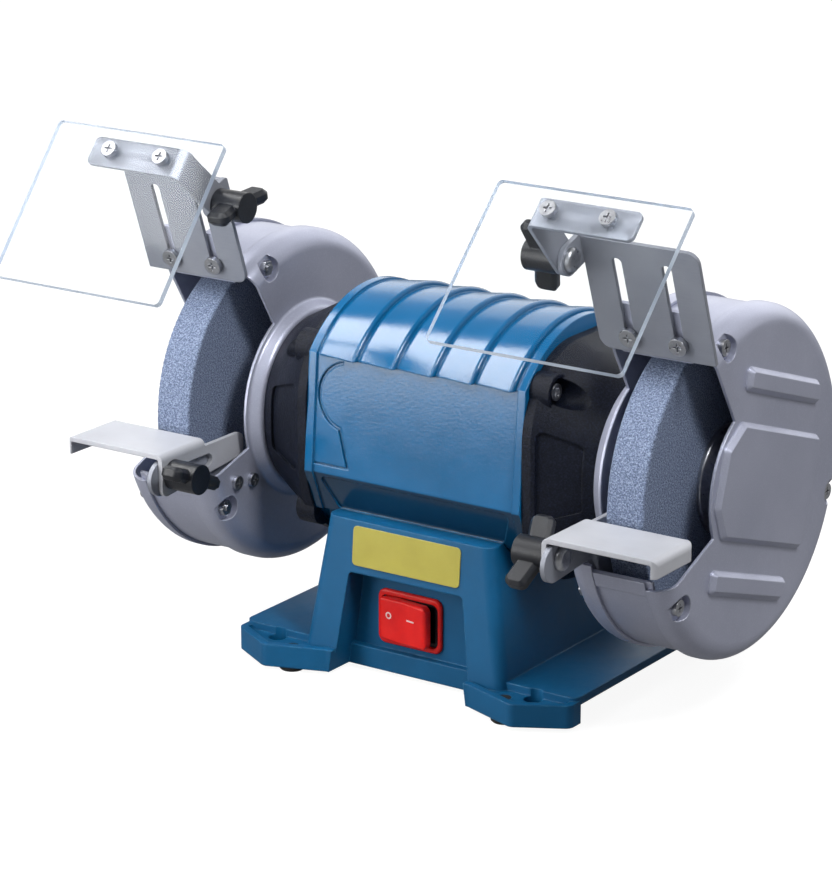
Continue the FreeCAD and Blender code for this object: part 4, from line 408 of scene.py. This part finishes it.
# Nodes that look different from the rest of their slot, and the panes, whose edges need a direction
NODE_LOOKS = {
    "motor_housing": blue_paint("housing_enamel", dark=(0.0010, 0.098, 0.245),
                                light=(0.0018, 0.120, 0.300), gloss=0.6, smooth=0.14, dull=0.20),
}
for side in ("left", "right"):
    NODE_LOOKS[side + "_tool_rest"] = pale_sheet
    NODE_LOOKS[side + "_eye_shield"] = clear_pane(side, largest_face(side + "_eye_shield"))
for part in frame["record"]["subparts"]:
    mesh = nodes[part["node"]].data
    look = NODE_LOOKS.get(part["node"]) or SLOT_LOOKS[part["material_slot"]]
    if not mesh.materials:
        mesh.materials.append(look)
    for i in range(len(mesh.materials)):
        mesh.materials[i] = look


def piece(name, mesh, body, look):
    """Add one visual piece that rides on a body."""
    obj = bpy.data.objects.new(name, mesh)
    scene.collection.objects.link(obj)
    mesh.materials.append(look)
    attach(obj, body)


def face_y(z):
    """Where the base's sloping front face is at a height."""
    (y_top, z_top), (y_low, z_low) = POST_FACE_TOP, POST_FACE_LOW
    return -(y_low + (y_top - y_low) * (z - z_low) / (z_top - z_low))


def plate_mesh():
    """Thin plate with round corners, lying on the base's front face."""
    bm = bmesh.new()
    half_z = (PLATE_TOP_Z - PLATE_LOW_Z) / 2
    ring = []
    for sx, sz, start in ((1, 1, 0), (-1, 1, 90), (-1, -1, 180), (1, -1, 270)):
        for step in range(CORNER_STEPS + 1):
            a = math.radians(start + 90 / CORNER_STEPS * step)
            x = sx * (PLATE_HALF_X - PLATE_CORNER) + PLATE_CORNER * math.cos(a)
            z = sz * (half_z - PLATE_CORNER) + PLATE_CORNER * math.sin(a)
            ring.append(bm.verts.new((x, 0, z)))
    face = bm.faces.new(ring)
    top = bmesh.ops.extrude_face_region(bm, geom=[face])["geom"]
    moved = [v for v in top if isinstance(v, bmesh.types.BMVert)]
    bmesh.ops.translate(bm, verts=moved, vec=(0, -PLATE_THICK, 0))
    bmesh.ops.recalc_face_normals(bm, faces=bm.faces)
    middle_z = (PLATE_TOP_Z + PLATE_LOW_Z) / 2
    (y_top, z_top), (y_low, z_low) = POST_FACE_TOP, POST_FACE_LOW
    lean = math.atan2(y_low - y_top, z_top - z_low)
    place = Matrix.Translation((0, face_y(middle_z), middle_z)) @ Matrix.Rotation(-lean, 4, "X")
    bmesh.ops.transform(bm, matrix=place, verts=bm.verts)
    mesh = bpy.data.meshes.new("yellow_plate")
    bm.to_mesh(mesh)
    bm.free()
    return mesh


def rocker_surface():
    """The rocker's own surface, for its marks to lie on."""
    obj = nodes["switch_rocker"]
    points = [obj.matrix_world @ v.co for v in obj.data.vertices]
    return BVHTree.FromPolygons(points, [tuple(p.vertices) for p in obj.data.polygons])


def mark_mesh(name, rails):
    """Thin strip of paint between two (x, z) rails, laid on the rocker from the front."""
    surface = rocker_surface()
    mesh = bpy.data.meshes.new(name)
    points = []
    for x, z in (p for pair in rails for p in pair):
        hit = surface.ray_cast(Vector((x, IN_FRONT_Y, z)), Vector((0, 1, 0)))[0]
        points.append(hit - Vector((0, MARK_LIFT, 0)))
    quads = [(2 * i, 2 * i + 1, 2 * i + 3, 2 * i + 2) for i in range(len(rails) - 1)]
    mesh.from_pydata(points, [], quads)
    mesh.update()
    return mesh


def ring_rails(place, radii, steps=40):
    """Outer and inner rail of a ring."""
    x, z = place
    turns = [2 * math.pi * i / steps for i in range(steps + 1)]
    return [[(x + r * math.cos(a), z + r * math.sin(a)) for r in radii] for a in turns]


def bar_rails(place, length, width, steps=12):
    """Lower and upper rail of a level bar."""
    x, z = place
    along = [x + length * (i / steps - 0.5) for i in range(steps + 1)]
    return [[(at, z + way * width / 2) for way in (-1, 1)] for at in along]


piece("yellow_plate", plate_mesh(), "stand", label_plate())
mark_look = mark_paint()
off_mesh = mark_mesh("off_mark", ring_rails(OFF_MARK, OFF_MARK_RADII))
piece("off_mark", off_mesh, "rocker", mark_look)
on_mesh = mark_mesh("on_mark", bar_rails(ON_MARK, ON_MARK_LENGTH, ON_MARK_WIDTH))
piece("on_mark", on_mesh, "rocker", mark_look)

# Stage: a grey floor that glows white to the eye and still keeps the object's shadow
FLOOR_HALF = 8.0
FLOOR_GREY = 0.16
FLOOR_GLOW = 0.92
FLOOR_SEEN_BY_GLOSS = 0.10
# Light of the world on the object, least and most, the way most of it comes from, and where it starts
AMBIENT = (0.06, 0.46)
AMBIENT_FROM = (-0.40, -0.55, 0.73)
AMBIENT_START = -0.1
# What gloss mirrors: a dim room, a white backdrop behind the object, and where the backdrop starts
ROOM_SEEN_BY_GLOSS = (0.10, 1.0)
BACKDROP_FROM = (0.0, 0.97, 0.10)
BACKDROP_START = 0.3


def seen(tree, *kinds):
    """1 for rays of any of these kinds, and 0 for the others."""
    path = tree.nodes.new("ShaderNodeLightPath")
    result = path.outputs[kinds[0]]
    for kind in kinds[1:]:
        larger = tree.nodes.new("ShaderNodeMath")
        larger.operation = "MAXIMUM"
        tree.links.new(result, larger.inputs[0])
        tree.links.new(path.outputs[kind], larger.inputs[1])
        result = larger.outputs[0]
    return result


def span(tree, value, low, high, start=0.0):
    """Scale a value from start..1 to low..high; each end may be a number or a socket."""
    node = tree.nodes.new("ShaderNodeMapRange")
    node.inputs["From Min"].default_value = start
    tree.links.new(value, node.inputs["Value"])
    for name, end in (("To Min", low), ("To Max", high)):
        if isinstance(end, float):
            node.inputs[name].default_value = end
        else:
            tree.links.new(end, node.inputs[name])
    return node.outputs[0]


def floor():
    """Wide floor; its glow is for the eye, and gloss sees little of it."""
    mesh = bpy.data.meshes.new("floor")
    r = FLOOR_HALF
    mesh.from_pydata([(-r, -r, 0), (r, -r, 0), (r, r, 0), (-r, r, 0)], [], [(0, 1, 2, 3)])
    mat = bpy.data.materials.new("pale_floor")
    mat.use_nodes = True
    tree = mat.node_tree
    shader = tree.nodes["Principled BSDF"]
    shader.inputs["Base Color"].default_value = (FLOOR_GREY, FLOOR_GREY, FLOOR_GREY, 1)
    shader.inputs["Roughness"].default_value = 0.9
    shader.inputs["Specular IOR Level"].default_value = 0.0
    shader.inputs["Emission Color"].default_value = (1, 1, 1, 1)
    glow = span(tree, seen(tree, "Is Glossy Ray"), 0.0, FLOOR_SEEN_BY_GLOSS)
    glow = span(tree, seen(tree, "Is Camera Ray", "Is Transmission Ray"), glow, FLOOR_GLOW)
    tree.links.new(glow, shader.inputs["Emission Strength"])
    mesh.materials.append(mat)
    obj = bpy.data.objects.new("floor", mesh)
    scene.collection.objects.link(obj)


def world():
    """White to look at, a soft light on the object, and a dim room with a backdrop for gloss."""
    scene.world = bpy.data.worlds.new("studio")
    scene.world.use_nodes = True
    tree = scene.world.node_tree
    back = tree.nodes["Background"]
    back.inputs["Color"].default_value = (1, 1, 1, 1)
    way = tree.nodes.new("ShaderNodeTexCoord")
    towards = []
    for direction in (AMBIENT_FROM, BACKDROP_FROM):
        dot = tree.nodes.new("ShaderNodeVectorMath")
        dot.operation = "DOT_PRODUCT"
        dot.inputs[1].default_value = direction
        tree.links.new(way.outputs["Generated"], dot.inputs[0])
        towards.append(dot.outputs["Value"])
    light = span(tree, towards[0], *AMBIENT, start=AMBIENT_START)
    gloss = span(tree, towards[1], *ROOM_SEEN_BY_GLOSS, start=BACKDROP_START)
    strength = span(tree, seen(tree, "Is Glossy Ray"), light, gloss)
    strength = span(tree, seen(tree, "Is Camera Ray", "Is Transmission Ray"), strength, 1.0)
    tree.links.new(strength, back.inputs["Strength"])


def lamp(name, place, target, size, watts, along=(0, 0, 1)):
    """Softbox that faces a target, with its second side along a direction."""
    light = bpy.data.lights.new(name, "AREA")
    light.shape = "RECTANGLE"
    light.size, light.size_y = size
    light.energy = watts
    back = (Vector(place) - Vector(target)).normalized()
    side = Vector(along).cross(back).normalized()
    obj = bpy.data.objects.new(name, light)
    obj.location = place
    obj.rotation_euler = Matrix((side, back.cross(side), back)).transposed().to_euler()
    scene.collection.objects.link(obj)


def camera():
    """The photograph's camera."""
    data = bpy.data.cameras.new("camera")
    data.sensor_fit = "VERTICAL"
    data.sensor_height = 36.0
    data.lens = FOCAL_PIXELS / IMAGE_HEIGHT * data.sensor_height
    data.clip_end = 50.0
    az, el = math.radians(CAMERA_AZIMUTH), math.radians(CAMERA_ELEVATION)
    back = Vector((math.sin(az) * math.cos(el), -math.cos(az) * math.cos(el), math.sin(el)))
    obj = bpy.data.objects.new("camera", data)
    obj.location = CAMERA_TARGET + back * CAMERA_DISTANCE
    obj.rotation_euler = (-back).to_track_quat("-Z", "Y").to_euler()
    scene.collection.objects.link(obj)
    scene.camera = obj


floor()
world()
# The housing's bands mirror the high lamp, and its flat front panel mirrors the low one
lamp("high", place=(-1.06, -0.22, 1.20), target=(0, -0.04, 0.15), size=(0.5, 0.90), watts=13,
     along=(0.05, 0.93, 0.36))
lamp("low", place=(-0.34, -0.57, 0.245), target=(0, -0.05, 0.13), size=(0.36, 0.40), watts=2.4)
lamp("key", place=(-0.25, -1.08, 1.66), target=(0, 0, 0.1), size=(0.8, 0.7), watts=9)
lamp("right", place=(1.00, -0.35, 1.35), target=(0.1, 0, 0.1), size=(0.4, 0.4), watts=17)
lamp("rear", place=(-0.30, 1.60, 0.95), target=(0, 0, 0.1), size=(2.2, 1.4), watts=8)
camera()
scene.view_settings.view_transform = "Standard"
